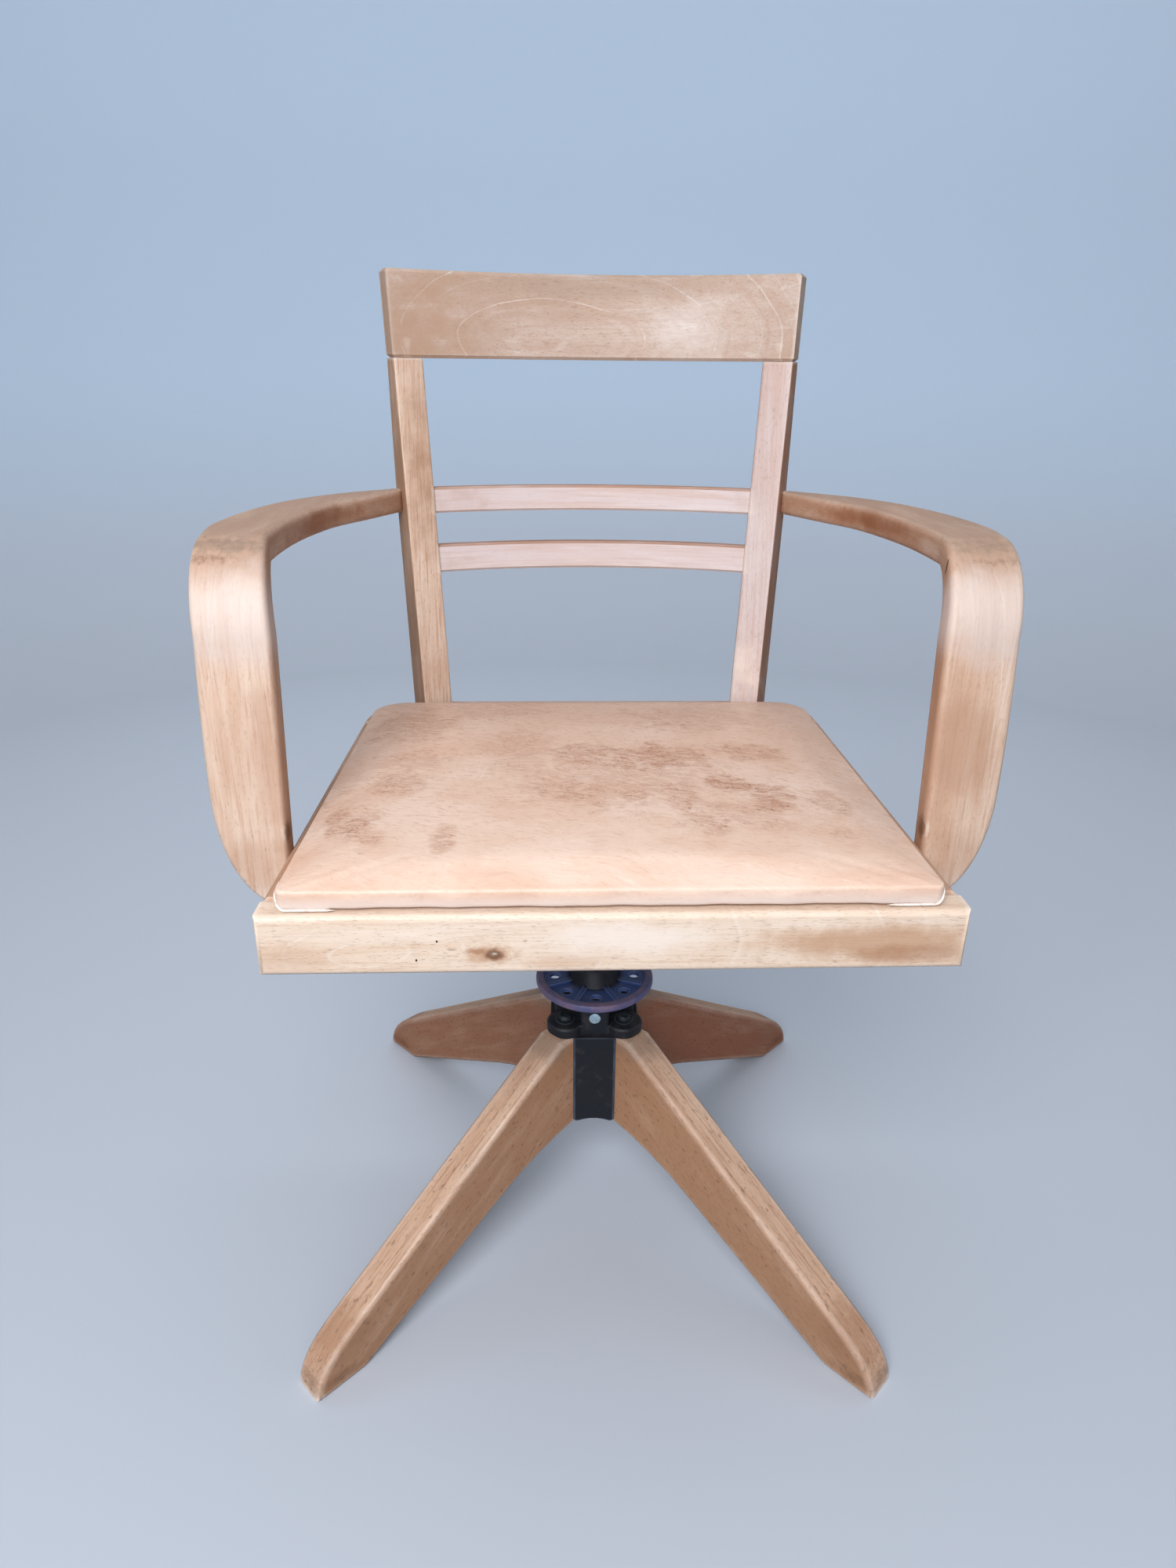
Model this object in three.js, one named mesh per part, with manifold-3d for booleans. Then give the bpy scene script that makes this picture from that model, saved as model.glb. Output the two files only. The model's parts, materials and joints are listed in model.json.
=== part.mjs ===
// Swivel armchair for an office: a wooden seat with a hooped back and bent arms on a four-legged base.
// Lengths are millimetres, +Z is up, the sitter faces -Y and +X is the right side as seen from the front.
// The model is drawn around the swivel axis. At the end one group moves it so that its origin is
// the middle of the footprint, at floor level.

import * as THREE from 'three';
import { mergeVertices } from 'three/addons/utils/BufferGeometryUtils.js';
import Module from 'manifold-3d';

const wasm = await Module();
wasm.setup();

// Driving dimensions

const GAP = 0.3; // left between two pieces that touch
const RUN = 0.35; // radial clearance of a piece that turns or slides in another
const OVERRUN = 2; // how far every cutter runs past what it cuts

// The base stands turned a little from the way the seat faces.
const BASE_TURN = THREE.MathUtils.degToRad(-1.4);

const LEG = {
  thickness: 30,
  reach: 330.5, // from the swivel axis to the end of the foot
  footLength: 45,
  shoulderHeight: 203.5, // flat top under the casting's lobes
  shoulderReach: 56.8, // where the flat top ends and the straight slope begins
  rootHeight: 108, // underside where the leg meets the barrel
  noseHeight: 46, // where the straight top edge turns down
  noseLength: 31,
  archHeight: 79, // where the straight underside turns level
  archReach: 128,
  edge: 4,
  screwDepth: 40,
};

const HUB = {
  barrelRadius: 24,
  panelReach: 41.2, // from the axis to the outer face of each panel
  panelThickness: 5,
  panelBottom: 108.7,
  panelCorner: 5,
  panelArch: 3,
  webThickness: 7,
  flangeThickness: 10.5,
  lobeReach: 54,
  lobeWidth: 34,
  lobeCorner: 15,
  boltCircle: 38.5,
  padRadius: 9,
  padHeight: 1.5,
  crossWidth: 27,
  crossReach: 37,
  crossTop: 232,
  crossCorner: 3.5,
  crossEdge: 2,
};

const BOLT = { headRadius: 6.3, headHeight: 4.5, shankRadius: 3 };
const SET_SCREW = { height: 223, headRadius: 5.2, headHeight: 1.8, shankRadius: 3 };
const SPINDLE = { radius: 12.2, bottom: 98, engaged: 28, tip: 2 };
const BUSH = { outerRadius: 16, bottom: 110, collarRadius: 23, collarHeight: 3 };
const WASHER = { outerRadius: 21, height: 3 };

const WHEEL = {
  radius: 54.7,
  rimWidth: 8,
  rimHeight: 9,
  rimRound: 3,
  webThickness: 4,
  webRise: 2.2, // underside of the web above the underside of the rim
  bossRadius: 24,
  bossTopRadius: 19,
  bossHeight: 20,
  ribs: 8,
  ribWidth: 4.5,
  ribHeight: 2.2,
  holeRadius: 5,
  holeCircle: 37,
};

const YOKE = {
  height: 318, // underside of the socket, which sets how much screw shows
  socketRadius: 21,
  socketHeight: 34,
  baseThickness: 9,
  halfWidth: 38,
  cheek: 8,
  pivotRise: 58, // the pivot above the underside of the socket
  pivotFront: 20, // the pivot lies this far in front of the swivel axis
  bossRadius: 15,
  frontReach: 62,
  rearReach: 72,
  noseThickness: 9,
  noseRise: 86,
  footInset: 3, // how far the cheeks and the nose start above the underside of the shelf
  shelfEdge: 1.5,
  pinRadius: 3.5,
};

const PIVOT = { radius: 8, headRadius: 11, headHeight: 3, tip: 1 };

const SPRING = {
  coilRadius: 12.5, // to the middle of the wire
  wireRadius: 2.4,
  turns: 6,
  rear: 50, // behind the swivel axis
  spacing: 36, // between the two springs
  spigotRadius: 9,
  spigotHeight: 5,
  wireSides: 5,
  stepsPerTurn: 8,
};

const IRON = {
  cheek: 7,
  sideGap: 1.4, // beside the yoke
  plateThickness: 6,
  flangeWidth: 30,
  frontReach: 126,
  rearReach: 74,
  endDepth: 11,
  tieThickness: 6,
  tieLength: 34,
  shoulderShare: 0.45,
};

const BATTEN = { height: 22, width: 50, front: -122, rear: 4 };
const IRON_SCREW = { headRadius: 5, headHeight: 2.4, shankRadius: 2.2, depth: 16, inset: 9 };

const SEAT = {
  halfWidth: 221, // at the front rail
  front: 262.3, // in front of the swivel axis
  rise: 144, // top of the frame above the underside of the socket
  railHeight: 41.5,
  railThickness: 24,
  taperShare: 0.0155, // how much each side closes in per length backwards
  backRailFront: 100,
  backRailDepth: 65,
  backCorner: 58,
  edge: 4,
  sideEdge: 2.5,
  blockLeg: 44,
  blockDrop: 4,
};

const BOARD = { thickness: 4.7, inset: 13 };

const CUSHION = {
  frontMargin: 13.5, // inside the outer faces of the side rails
  backMargin: 15.5,
  frontLip: 1.5, // how far its front edge stays behind the front rail's face
  back: 116,
  frontCorner: 6,
  backCorner: 30,
  wallHeight: 11, // its upright sides
  crown: 10, // the middle above the edge
  acrossShare: 0.6, // the smaller, the flatter its top and the fuller its sides
  alongShare: 0.4,
  edge: 4.5,
  drawIn: 3, // how far the sides pull in between the corners
};

const BACK = {
  radius: 388, // of the concave front face, seen from above
  midFront: 196, // the front face at the middle of the crest's top edge
  rise: 386, // top edge above the seat frame
  crestHeight: 70,
  crestThickness: 17,
  crestEdge: 2.5,
  rakeShare: 0.113, // backwards per length upwards
  topWidthShare: 0.803, // of the seat frame's width
  footWidthShare: 0.7217,
};

const STILE = {
  width: 28,
  depthFoot: 36,
  depthArm: 29,
  depthTop: 19,
  edge: 3,
  tenonWidth: 16,
  tenonDepth: 20,
  tenonLength: 22,
};

const SLAT = {
  thickness: 12,
  setBack: 4, // behind the front faces of the stiles
  upperShare: 0.4793, // of the back's height above the seat frame
  upperHeight: 22.4,
  lowerShare: 0.342,
  lowerHeight: 24.6,
  tenon: 7,
  edge: 2,
};

const DOWEL = { radius: 4, length: 30 };

const ARM = {
  topShare: 0.5337, // of the back's height above the seat frame
  thickness: 20,
  bendRadius: 38, // of the concave side
  bladeFront: 175, // in front of the swivel axis
  bladeWidth: 49.3, // just under the bend
  bladeWiden: 3.8, // how much wider it is where the lower end starts to close in
  lean: 4.5, // how far the blade's top stands inside the side rail's outer face
  footDrop: 40.5, // its lower end below the top of the seat frame
  footRise: 79, // height of the rounded lower end
  footTip: 9,
  edge: 4.5,
  sweep: 109, // how far its outer edge stands out from the stile where it is widest
  endFrontShare: 0.38, // of the stile's depth, where the arm's inner edge meets it
  dowelShare: 0.66, // of the stile's depth, where the dowel stands
  settleShare: 1.5, // above 1, the board's edges settle early in the bend
  screwSpread: 16,
};

const ARM_SCREW = { headRadius: 4.5, headHeight: 2, shankRadius: 2.2, bite: 12 };

// Plan of the arm's two long edges from the stile to the bend, chosen by hand: shares of the sweep
// outwards from the stile, and shares of the way forwards to the bend.
const ARM_INNER_SHARES = [
  { out: 0.22, forward: 0.155 },
  { out: 0.396, forward: 0.335 },
  { out: 0.48, forward: 0.515 },
  { out: 0.522, forward: 0.7 },
  { out: 0.522, forward: 0.87 },
  { out: 0.508, forward: 1 },
];
const ARM_OUTER_SHARES = [
  { out: 0.57, forward: 0.09 },
  { out: 0.81, forward: 0.275 },
  { out: 0.94, forward: 0.485 },
  { out: 0.993, forward: 0.7 },
  { out: 0.993, forward: 0.85 },
  { out: 0.932, forward: 1 },
];

// Helpers for shapes, joins and cuts

const QUARTER = Math.PI / 2;
const EIGHTH = Math.PI / 4;

function solidOf(geometry) {
  const bare = geometry.clone();
  bare.deleteAttribute('normal');
  bare.deleteAttribute('uv');
  const merged = mergeVertices(bare);
  return new wasm.Manifold(new wasm.Mesh({
    numProp: 3,
    vertProperties: new Float32Array(merged.attributes.position.array),
    triVerts: new Uint32Array(merged.index.array),
  }));
}

function geometryOf(solid) {
  const mesh = solid.getMesh();
  const geometry = new THREE.BufferGeometry();
  geometry.setAttribute('position', new THREE.BufferAttribute(new Float32Array(mesh.vertProperties), 3));
  geometry.setIndex(new THREE.BufferAttribute(new Uint32Array(mesh.triVerts), 1));
  geometry.computeVertexNormals();
  return geometry;
}

function join(...geometries) {
  return geometryOf(geometries.map(solidOf).reduce((sum, next) => sum.add(next)));
}

function cut(body, ...tools) {
  return geometryOf(tools.map(solidOf).reduce((rest, tool) => rest.subtract(tool), solidOf(body)));
}

// An upright rod from one height to another.
function rod(radius, bottom, top, sides = 24) {
  const geometry = new THREE.CylinderGeometry(radius, radius, top - bottom, sides);
  return geometry.rotateX(QUARTER).translate(0, 0, (top + bottom) / 2);
}

// A rod along +X from one place to another.
function crossRod(radius, left, right, sides = 24) {
  return rod(radius, left, right, sides).rotateY(QUARTER);
}

// A box given by its lowest and highest corners.
function block(low, high) {
  const size = high.map((value, axis) => value - low[axis]);
  const middle = high.map((value, axis) => (value + low[axis]) / 2);
  return new THREE.BoxGeometry(...size).translate(...middle);
}

// An outline made thick along +Z from one height to another, with its edges rounded inside the outline.
function slab(shape, bottom, top, edge = 0, rounding = 1) {
  const geometry = new THREE.ExtrudeGeometry(shape, {
    depth: top - bottom - 2 * edge,
    bevelEnabled: edge > 0,
    bevelThickness: edge,
    bevelSize: edge,
    bevelOffset: -edge,
    bevelSegments: rounding,
    curveSegments: 5,
  });
  return geometry.translate(0, 0, bottom + edge);
}

// The same outline standing up: its x runs along `across` degrees in plan and its y runs up.
function standing(shape, thickness, turn, edge = 0, rounding = 1) {
  const geometry = slab(shape, -thickness / 2, thickness / 2, edge, rounding);
  return geometry.rotateX(QUARTER).rotateZ(turn);
}

function turned(profile, sides = 24) {
  const points = profile.map(([radius, height]) => new THREE.Vector2(radius, height));
  return new THREE.LatheGeometry(points, sides).rotateX(QUARTER);
}

function rectangle(left, bottom, right, top, corner = 0) {
  const shape = new THREE.Shape();
  if (corner === 0) {
    shape.moveTo(left, bottom).lineTo(right, bottom).lineTo(right, top).lineTo(left, top).closePath();
    return shape;
  }
  shape.moveTo(left + corner, bottom).lineTo(right - corner, bottom);
  shape.absarc(right - corner, bottom + corner, corner, -QUARTER, 0, false);
  shape.lineTo(right, top - corner);
  shape.absarc(right - corner, top - corner, corner, 0, QUARTER, false);
  shape.lineTo(left + corner, top);
  shape.absarc(left + corner, top - corner, corner, QUARTER, Math.PI, false);
  shape.lineTo(left, bottom + corner);
  shape.absarc(left + corner, bottom + corner, corner, Math.PI, Math.PI + QUARTER, false);
  return shape;
}

function centred(halfWidth, halfDepth, corner = 0) {
  return rectangle(-halfWidth, -halfDepth, halfWidth, halfDepth, corner);
}

// A closed skin over rings of points. Every ring has the same count of points, and each end is
// closed by a fan around the middle of its ring.
function loft(rings) {
  const count = rings[0].length;
  const middles = [rings[0], rings[rings.length - 1]].map((ring) => ring
    .reduce((sum, point) => sum.add(point), new THREE.Vector3()).divideScalar(count));
  const places = [...rings.flat(), ...middles].flatMap((point) => [point.x, point.y, point.z]);
  const faces = [];
  const last = rings.length - 1;
  for (let side = 0; side < count; side += 1) {
    const next = (side + 1) % count;
    for (let row = 0; row < last; row += 1) {
      const [a, b] = [row * count + side, row * count + next];
      faces.push(a, b, b + count, a, b + count, a + count);
    }
    faces.push(rings.length * count, next, side);
    faces.push(rings.length * count + 1, last * count + side, last * count + next);
  }
  const geometry = new THREE.BufferGeometry();
  geometry.setAttribute('position', new THREE.Float32BufferAttribute(places, 3));
  geometry.setIndex(faces);
  return geometry;
}

// A rounded rectangle as a ring of points: `u` and `v` are the vectors from one corner along its
// two sides, and `origin` is that corner. It runs anticlockwise from u to v.
function section(origin, u, v, round, steps = 2) {
  const [width, height] = [u.length(), v.length()];
  const [along, up] = [u.clone().normalize(), v.clone().normalize()];
  const corners = [
    [width - round, round, -QUARTER],
    [width - round, height - round, 0],
    [round, height - round, QUARTER],
    [round, round, 2 * QUARTER],
  ];
  return corners.flatMap(([x, y, start]) => Array.from({ length: steps + 1 }, (_, step) => {
    const angle = start + (QUARTER * step) / steps;
    return origin.clone()
      .addScaledVector(along, x + round * Math.cos(angle))
      .addScaledVector(up, y + round * Math.sin(angle));
  }));
}

function mirrored(geometry) {
  const copy = geometry.clone().scale(-1, 1, 1);
  const count = copy.attributes.position.count;
  const index = copy.index ? Array.from(copy.index.array) : [...Array(count).keys()];
  for (let face = 0; face < index.length; face += 3) {
    [index[face], index[face + 1]] = [index[face + 1], index[face]];
  }
  copy.setIndex(index);
  return copy;
}

// Materials

function finish(color, roughness, metalness) {
  return new THREE.MeshStandardMaterial({ color, roughness, metalness });
}

const BEECH = () => finish(0xd0a27c, 0.55, 0);
const LEG_BEECH = () => finish(0xa9805f, 0.6, 0);
const IRON_BLACK = () => finish(0x26282b, 0.55, 0.8);
const WHEEL_IRON = () => finish(0x5a5568, 0.5, 0.7);
const STEEL = () => finish(0x8b8d90, 0.4, 0.9);
const ZINC = () => finish(0xc4c8cc, 0.4, 0.9);
const LEATHER = () => finish(0xc9976d, 0.6, 0);

const model = new THREE.Group();
const base = new THREE.Group();
base.rotation.z = BASE_TURN;
model.add(base);

function add(name, geometry, material, holder = model) {
  const mesh = new THREE.Mesh(geometry, material);
  mesh.name = name;
  holder.add(mesh);
}

// Heights and places that follow from the driving dimensions

const flangeBottom = LEG.shoulderHeight + GAP;
const flangeTop = flangeBottom + HUB.flangeThickness;
const padTop = flangeTop + HUB.padHeight;
const collarBottom = HUB.crossTop + GAP;
const washerBottom = collarBottom + BUSH.collarHeight + GAP;
const wheelBottom = washerBottom + WASHER.height + GAP;
const socketTop = YOKE.height + YOKE.socketHeight;
const pivotHeight = YOKE.height + YOKE.pivotRise;
const noseTop = YOKE.height + YOKE.noseRise;
const seatTop = YOKE.height + SEAT.rise;
const backTop = seatTop + BACK.rise;
const armFoot = seatTop - ARM.footDrop;
const spindleTop = YOKE.height + SPINDLE.engaged;
const railBottom = seatTop - SEAT.railHeight;
const battenBottom = railBottom + SEAT.blockDrop;
const ironTop = battenBottom - GAP;
const boardTop = seatTop + GAP + BOARD.thickness;
const cushionBottom = boardTop + GAP;
const crestBottom = backTop - BACK.crestHeight;
const alongBack = (share) => THREE.MathUtils.lerp(seatTop, backTop, share);
const armTop = alongBack(ARM.topShare);

// Half the seat frame's width at a place behind the swivel axis.
const railSide = (back) => SEAT.halfWidth - (back + SEAT.front) * SEAT.taperShare;

// The concave front surface of the back at a height: how far behind the axis it lies beside the middle.
const backMid = (height) => BACK.midFront - (backTop - height) * BACK.rakeShare;
const backBow = (beside) => BACK.radius - Math.sqrt(BACK.radius ** 2 - beside ** 2);
const backAt = (beside, height) => backMid(height) - backBow(beside);

// Half the width over the outer front corners of the stiles at a height.
const stileSide = (height) => SEAT.halfWidth * THREE.MathUtils.mapLinear(
  height, seatTop, backTop, BACK.footWidthShare, BACK.topWidthShare);

// Base

function legOutline() {
  const root = HUB.barrelRadius + GAP;
  const heel = LEG.reach - LEG.footLength;
  const nose = LEG.reach - LEG.noseLength;
  const slopeShare = (LEG.shoulderHeight - LEG.noseHeight) / (nose - LEG.shoulderReach);
  const archControlShare = 0.54;
  const bend = THREE.MathUtils.lerp(root, LEG.archReach, archControlShare);
  const archRise = ((heel - bend) / (heel - LEG.archReach)) * LEG.archHeight;
  const noseControlShare = 0.69;
  const tip = THREE.MathUtils.lerp(nose, LEG.reach, noseControlShare);
  const shape = new THREE.Shape();
  shape.moveTo(root, LEG.rootHeight);
  shape.quadraticCurveTo(bend, archRise, LEG.archReach, LEG.archHeight);
  shape.lineTo(heel, 0).lineTo(LEG.reach, 0);
  shape.bezierCurveTo(LEG.reach, LEG.noseHeight / 3,
    tip, LEG.noseHeight - (tip - nose) * slopeShare, nose, LEG.noseHeight);
  shape.lineTo(LEG.shoulderReach, LEG.shoulderHeight).lineTo(root, LEG.shoulderHeight);
  return shape;
}

const LEG_PLACES = [
  ['leg_back_right', EIGHTH],
  ['leg_back_left', 3 * EIGHTH],
  ['leg_front_left', 5 * EIGHTH],
  ['leg_front_right', 7 * EIGHTH],
];

for (const [name, turn] of LEG_PLACES) {
  const plank = standing(legOutline(), LEG.thickness, 0, LEG.edge, 3);
  const pilot = rod(BOLT.shankRadius + GAP, LEG.shoulderHeight - LEG.screwDepth - GAP, flangeTop, 10)
    .translate(HUB.boltCircle, 0, 0);
  add(name, cut(plank, pilot).rotateZ(turn), LEG_BEECH(), base);
}

function hubPanelOutline() {
  const half = HUB.panelReach;
  const rise = HUB.panelBottom + HUB.panelCorner;
  const flat = half - (LEG.thickness / 2) * Math.SQRT2 - HUB.panelCorner;
  const shape = new THREE.Shape();
  shape.moveTo(-half, flangeBottom).lineTo(-half, rise).lineTo(-flat - HUB.panelCorner, rise);
  shape.quadraticCurveTo(-flat - HUB.panelCorner, HUB.panelBottom, -flat, HUB.panelBottom);
  shape.quadraticCurveTo(0, HUB.panelBottom + 2 * HUB.panelArch, flat, HUB.panelBottom);
  shape.quadraticCurveTo(flat + HUB.panelCorner, HUB.panelBottom, flat + HUB.panelCorner, rise);
  shape.lineTo(half, rise).lineTo(half, flangeBottom);
  return shape;
}

function hubCasting() {
  const parts = [rod(HUB.barrelRadius, HUB.panelBottom, HUB.crossTop, 32)];
  const slot = LEG.thickness / 2 + GAP;
  const panelMiddle = HUB.panelThickness / 2 - HUB.panelReach;
  for (let side = 0; side < 4; side += 1) {
    const panel = standing(hubPanelOutline(), HUB.panelThickness, 0).translate(0, panelMiddle, 0);
    const web = block([-HUB.webThickness / 2, panelMiddle, HUB.panelBottom + 2 * HUB.panelArch],
      [HUB.webThickness / 2, -HUB.barrelRadius / 2, flangeBottom]);
    parts.push(panel.rotateZ(side * QUARTER), web.rotateZ(side * QUARTER));
  }
  const legSlots = [EIGHTH, -EIGHTH].map((turn) => block(
    [-LEG.reach, -slot, 0], [LEG.reach, slot, flangeBottom]).rotateZ(turn));
  const lower = cut(join(...parts), ...legSlots);
  const barrel = rod(HUB.barrelRadius, HUB.panelBottom, HUB.crossTop, 32);
  const lobes = centred(HUB.lobeReach, HUB.lobeWidth / 2, HUB.lobeCorner);
  const middle = centred(HUB.crossReach, HUB.crossReach, HUB.lobeCorner);
  const cross = centred(HUB.crossReach, HUB.crossWidth / 2, HUB.crossCorner);
  const crossBottom = flangeBottom - OVERRUN;
  const upper = [
    ...[EIGHTH, -EIGHTH].map((turn) => slab(lobes, flangeBottom, flangeTop, HUB.padHeight).rotateZ(turn)),
    slab(middle, crossBottom, flangeTop),
    ...[0, QUARTER].map((turn) => slab(cross, crossBottom, HUB.crossTop, HUB.crossEdge).rotateZ(turn)),
  ];
  for (let lobe = 0; lobe < 4; lobe += 1) {
    upper.push(rod(HUB.padRadius, flangeBottom, padTop, 16)
      .translate(HUB.boltCircle, 0, 0).rotateZ(EIGHTH + lobe * QUARTER));
  }
  const shoulderSlots = [EIGHTH, -EIGHTH].map((turn) => block(
    [-LEG.reach, -slot, LEG.rootHeight], [LEG.reach, slot, flangeBottom]).rotateZ(turn));
  const boltHole = rod(BOLT.shankRadius + GAP, flangeBottom - OVERRUN, padTop + OVERRUN, 10)
    .translate(HUB.boltCircle, 0, 0);
  const bolts = LEG_PLACES.map(([, turn]) => boltHole.clone().rotateZ(turn));
  const crown = join(cut(join(...upper), ...shoulderSlots), barrel);
  const bore = rod(BUSH.outerRadius + GAP, HUB.panelBottom - OVERRUN, HUB.crossTop + OVERRUN, 32);
  const setScrewHole = rod(SET_SCREW.shankRadius + GAP, 0, HUB.crossReach + OVERRUN, 10)
    .rotateX(QUARTER).translate(0, 0, SET_SCREW.height);
  return cut(join(lower, crown), bore, setScrewHole, ...bolts);
}

add('hub_casting', hubCasting(), IRON_BLACK(), base);

// A round-headed fastener with its seat at height 0, the head above it and the shank below.
function fastener(headRadius, headHeight, shankRadius, length, sides = 10) {
  const [shoulderShare, domeWidthShare, domeHeightShare] = [0.45, 0.7, 0.88];
  return turned([
    [0, -length], [shankRadius, -length], [shankRadius, 0], [headRadius, 0],
    [headRadius, headHeight * shoulderShare],
    [headRadius * domeWidthShare, headHeight * domeHeightShare], [0, headHeight],
  ], sides);
}

for (const [name, turn] of LEG_PLACES) {
  add(name.replace('leg', 'leg_bolt'), fastener(
    BOLT.headRadius, BOLT.headHeight, BOLT.shankRadius, padTop + GAP - LEG.shoulderHeight + LEG.screwDepth)
    .translate(HUB.boltCircle, 0, padTop + GAP).rotateZ(turn), IRON_BLACK(), base);
}

const setScrewReach = HUB.crossReach - BUSH.outerRadius - GAP;
add('bush_set_screw', fastener(
  SET_SCREW.headRadius, SET_SCREW.headHeight, SET_SCREW.shankRadius, setScrewReach, 16)
  .rotateX(QUARTER).translate(0, -HUB.crossReach - GAP, SET_SCREW.height), ZINC(), base);

add('spindle_bush', turned([
  [SPINDLE.radius + RUN, BUSH.bottom], [BUSH.outerRadius, BUSH.bottom], [BUSH.outerRadius, collarBottom],
  [BUSH.collarRadius, collarBottom], [BUSH.collarRadius, collarBottom + BUSH.collarHeight],
  [SPINDLE.radius + RUN, collarBottom + BUSH.collarHeight], [SPINDLE.radius + RUN, BUSH.bottom],
], 32), STEEL(), base);

// The washer that the turning parts ride on

add('thrust_washer', turned([
  [SPINDLE.radius + RUN, washerBottom], [WASHER.outerRadius, washerBottom],
  [WASHER.outerRadius, washerBottom + WASHER.height], [SPINDLE.radius + RUN, washerBottom + WASHER.height],
  [SPINDLE.radius + RUN, washerBottom],
], 32), STEEL());

// Hand wheel: the nut of the height screw, a ribbed disc with a hole between every two ribs

function handWheel() {
  const bore = SPINDLE.radius + RUN;
  const inner = WHEEL.radius - WHEEL.rimWidth;
  const webBottom = wheelBottom + WHEEL.webRise;
  const webTop = webBottom + WHEEL.webThickness;
  const rimTop = wheelBottom + WHEEL.rimHeight;
  const bossTop = wheelBottom + WHEEL.bossHeight;
  const round = WHEEL.rimRound;
  const disc = turned([
    [bore, wheelBottom], [WHEEL.bossRadius, wheelBottom], [WHEEL.bossRadius, webBottom], [inner, webBottom],
    [inner, wheelBottom + round / 2], [inner + round / 2, wheelBottom],
    [WHEEL.radius - round, wheelBottom], [WHEEL.radius, wheelBottom + round],
    [WHEEL.radius, rimTop - round], [WHEEL.radius - round / 3, rimTop - round / 3],
    [WHEEL.radius - round, rimTop], [inner + round / 2, rimTop], [inner, rimTop - round / 2],
    [inner, webTop], [WHEEL.bossRadius, webTop], [WHEEL.bossTopRadius, bossTop - round],
    [WHEEL.bossTopRadius - round, bossTop], [bore, bossTop], [bore, wheelBottom],
  ], 56);
  const ribs = [];
  const holes = [];
  const rib = slab(rectangle(WHEEL.bossTopRadius, -WHEEL.ribWidth / 2, inner + round / 2, WHEEL.ribWidth / 2),
    webTop - WHEEL.webThickness / 2, webTop + WHEEL.ribHeight);
  const hole = rod(WHEEL.holeRadius, wheelBottom, rimTop, 12).translate(WHEEL.holeCircle, 0, 0);
  const step = (2 * Math.PI) / WHEEL.ribs;
  for (let place = 0; place < WHEEL.ribs; place += 1) {
    ribs.push(rib.clone().rotateZ((place + 1 / 2) * step));
    holes.push(hole.clone().rotateZ(place * step));
  }
  return cut(join(disc, ...ribs), ...holes);
}

add('hand_wheel', handWheel(), WHEEL_IRON());

// Height screw and the yoke on its head

const socketPin = YOKE.height + YOKE.socketHeight / 2;

function spindle() {
  const body = turned([
    [0, SPINDLE.bottom], [SPINDLE.radius - SPINDLE.tip, SPINDLE.bottom],
    [SPINDLE.radius, SPINDLE.bottom + SPINDLE.tip], [SPINDLE.radius, spindleTop], [0, spindleTop],
  ], 32);
  return cut(body, crossRod(YOKE.pinRadius + GAP, -YOKE.socketRadius, YOKE.socketRadius, 10)
    .translate(0, 0, socketPin));
}

add('spindle', spindle(), STEEL());

const springPlaces = [-SPRING.spacing / 2, SPRING.spacing / 2];
const shelfTop = socketTop;

function tiltYoke() {
  const shelfBottom = shelfTop - YOKE.baseThickness;
  const footBottom = shelfBottom + YOKE.footInset;
  const half = YOKE.halfWidth;
  const socket = rod(YOKE.socketRadius, YOKE.height, shelfTop, 32);
  const shelf = slab(rectangle(-half, -YOKE.frontReach, half, YOKE.rearReach, YOKE.cheek),
    shelfBottom, shelfTop, YOKE.shelfEdge);
  const cheekShape = new THREE.Shape();
  const pivotBack = -YOKE.pivotFront;
  const foot = 2 * YOKE.bossRadius;
  cheekShape.moveTo(pivotBack - foot, footBottom).lineTo(pivotBack + foot, footBottom);
  cheekShape.lineTo(pivotBack + YOKE.bossRadius, pivotHeight);
  cheekShape.absarc(pivotBack, pivotHeight, YOKE.bossRadius, 0, Math.PI, false);
  const cheeks = [1, -1].map((side) => standing(cheekShape, YOKE.cheek, QUARTER)
    .translate(side * (half - YOKE.cheek / 2), 0, 0));
  const noseBack = YOKE.noseThickness - YOKE.frontReach;
  const nose = slab(rectangle(-half / 2, -YOKE.frontReach, half / 2, noseBack, YOKE.footInset),
    footBottom, noseTop);
  const spigot = rod(SPRING.spigotRadius, shelfBottom + OVERRUN, shelfTop + SPRING.spigotHeight, 16);
  const spigots = springPlaces.map((x) => spigot.clone().translate(x, SPRING.rear, 0));
  const body = join(socket, shelf, ...cheeks, nose, ...spigots);
  const spindleHole = rod(SPINDLE.radius + GAP, YOKE.height - OVERRUN, spindleTop + GAP, 32);
  const pinHole = crossRod(YOKE.pinRadius + GAP, -half, half, 10).translate(0, 0, socketPin);
  const pivotHole = crossRod(PIVOT.radius + RUN, -half - OVERRUN, half + OVERRUN)
    .translate(0, pivotBack, pivotHeight);
  return cut(body, spindleHole, pinHole, pivotHole);
}

add('tilt_yoke', tiltYoke(), IRON_BLACK());
add('yoke_pin', crossRod(YOKE.pinRadius, -YOKE.socketRadius - GAP, YOKE.socketRadius + GAP, 10)
  .translate(0, 0, socketPin), STEEL());

// Tilt springs: open coils with closed end turns and a short upright leg at each end

const ironPlateBottom = ironTop - IRON.plateThickness;
const tieBottom = ironPlateBottom - IRON.tieThickness;
const springBottom = shelfTop + GAP;
const springLength = tieBottom - GAP - springBottom;

class SpringCurve extends THREE.Curve {
  getPoint(t, target = new THREE.Vector3()) {
    const leg = 2 * SPRING.wireRadius;
    const turn = t * SPRING.turns * 2 * Math.PI;
    const height = leg + t * (springLength - 2 * leg);
    return target.set(SPRING.coilRadius * Math.cos(turn), SPRING.coilRadius * Math.sin(turn), height);
  }
}

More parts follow.
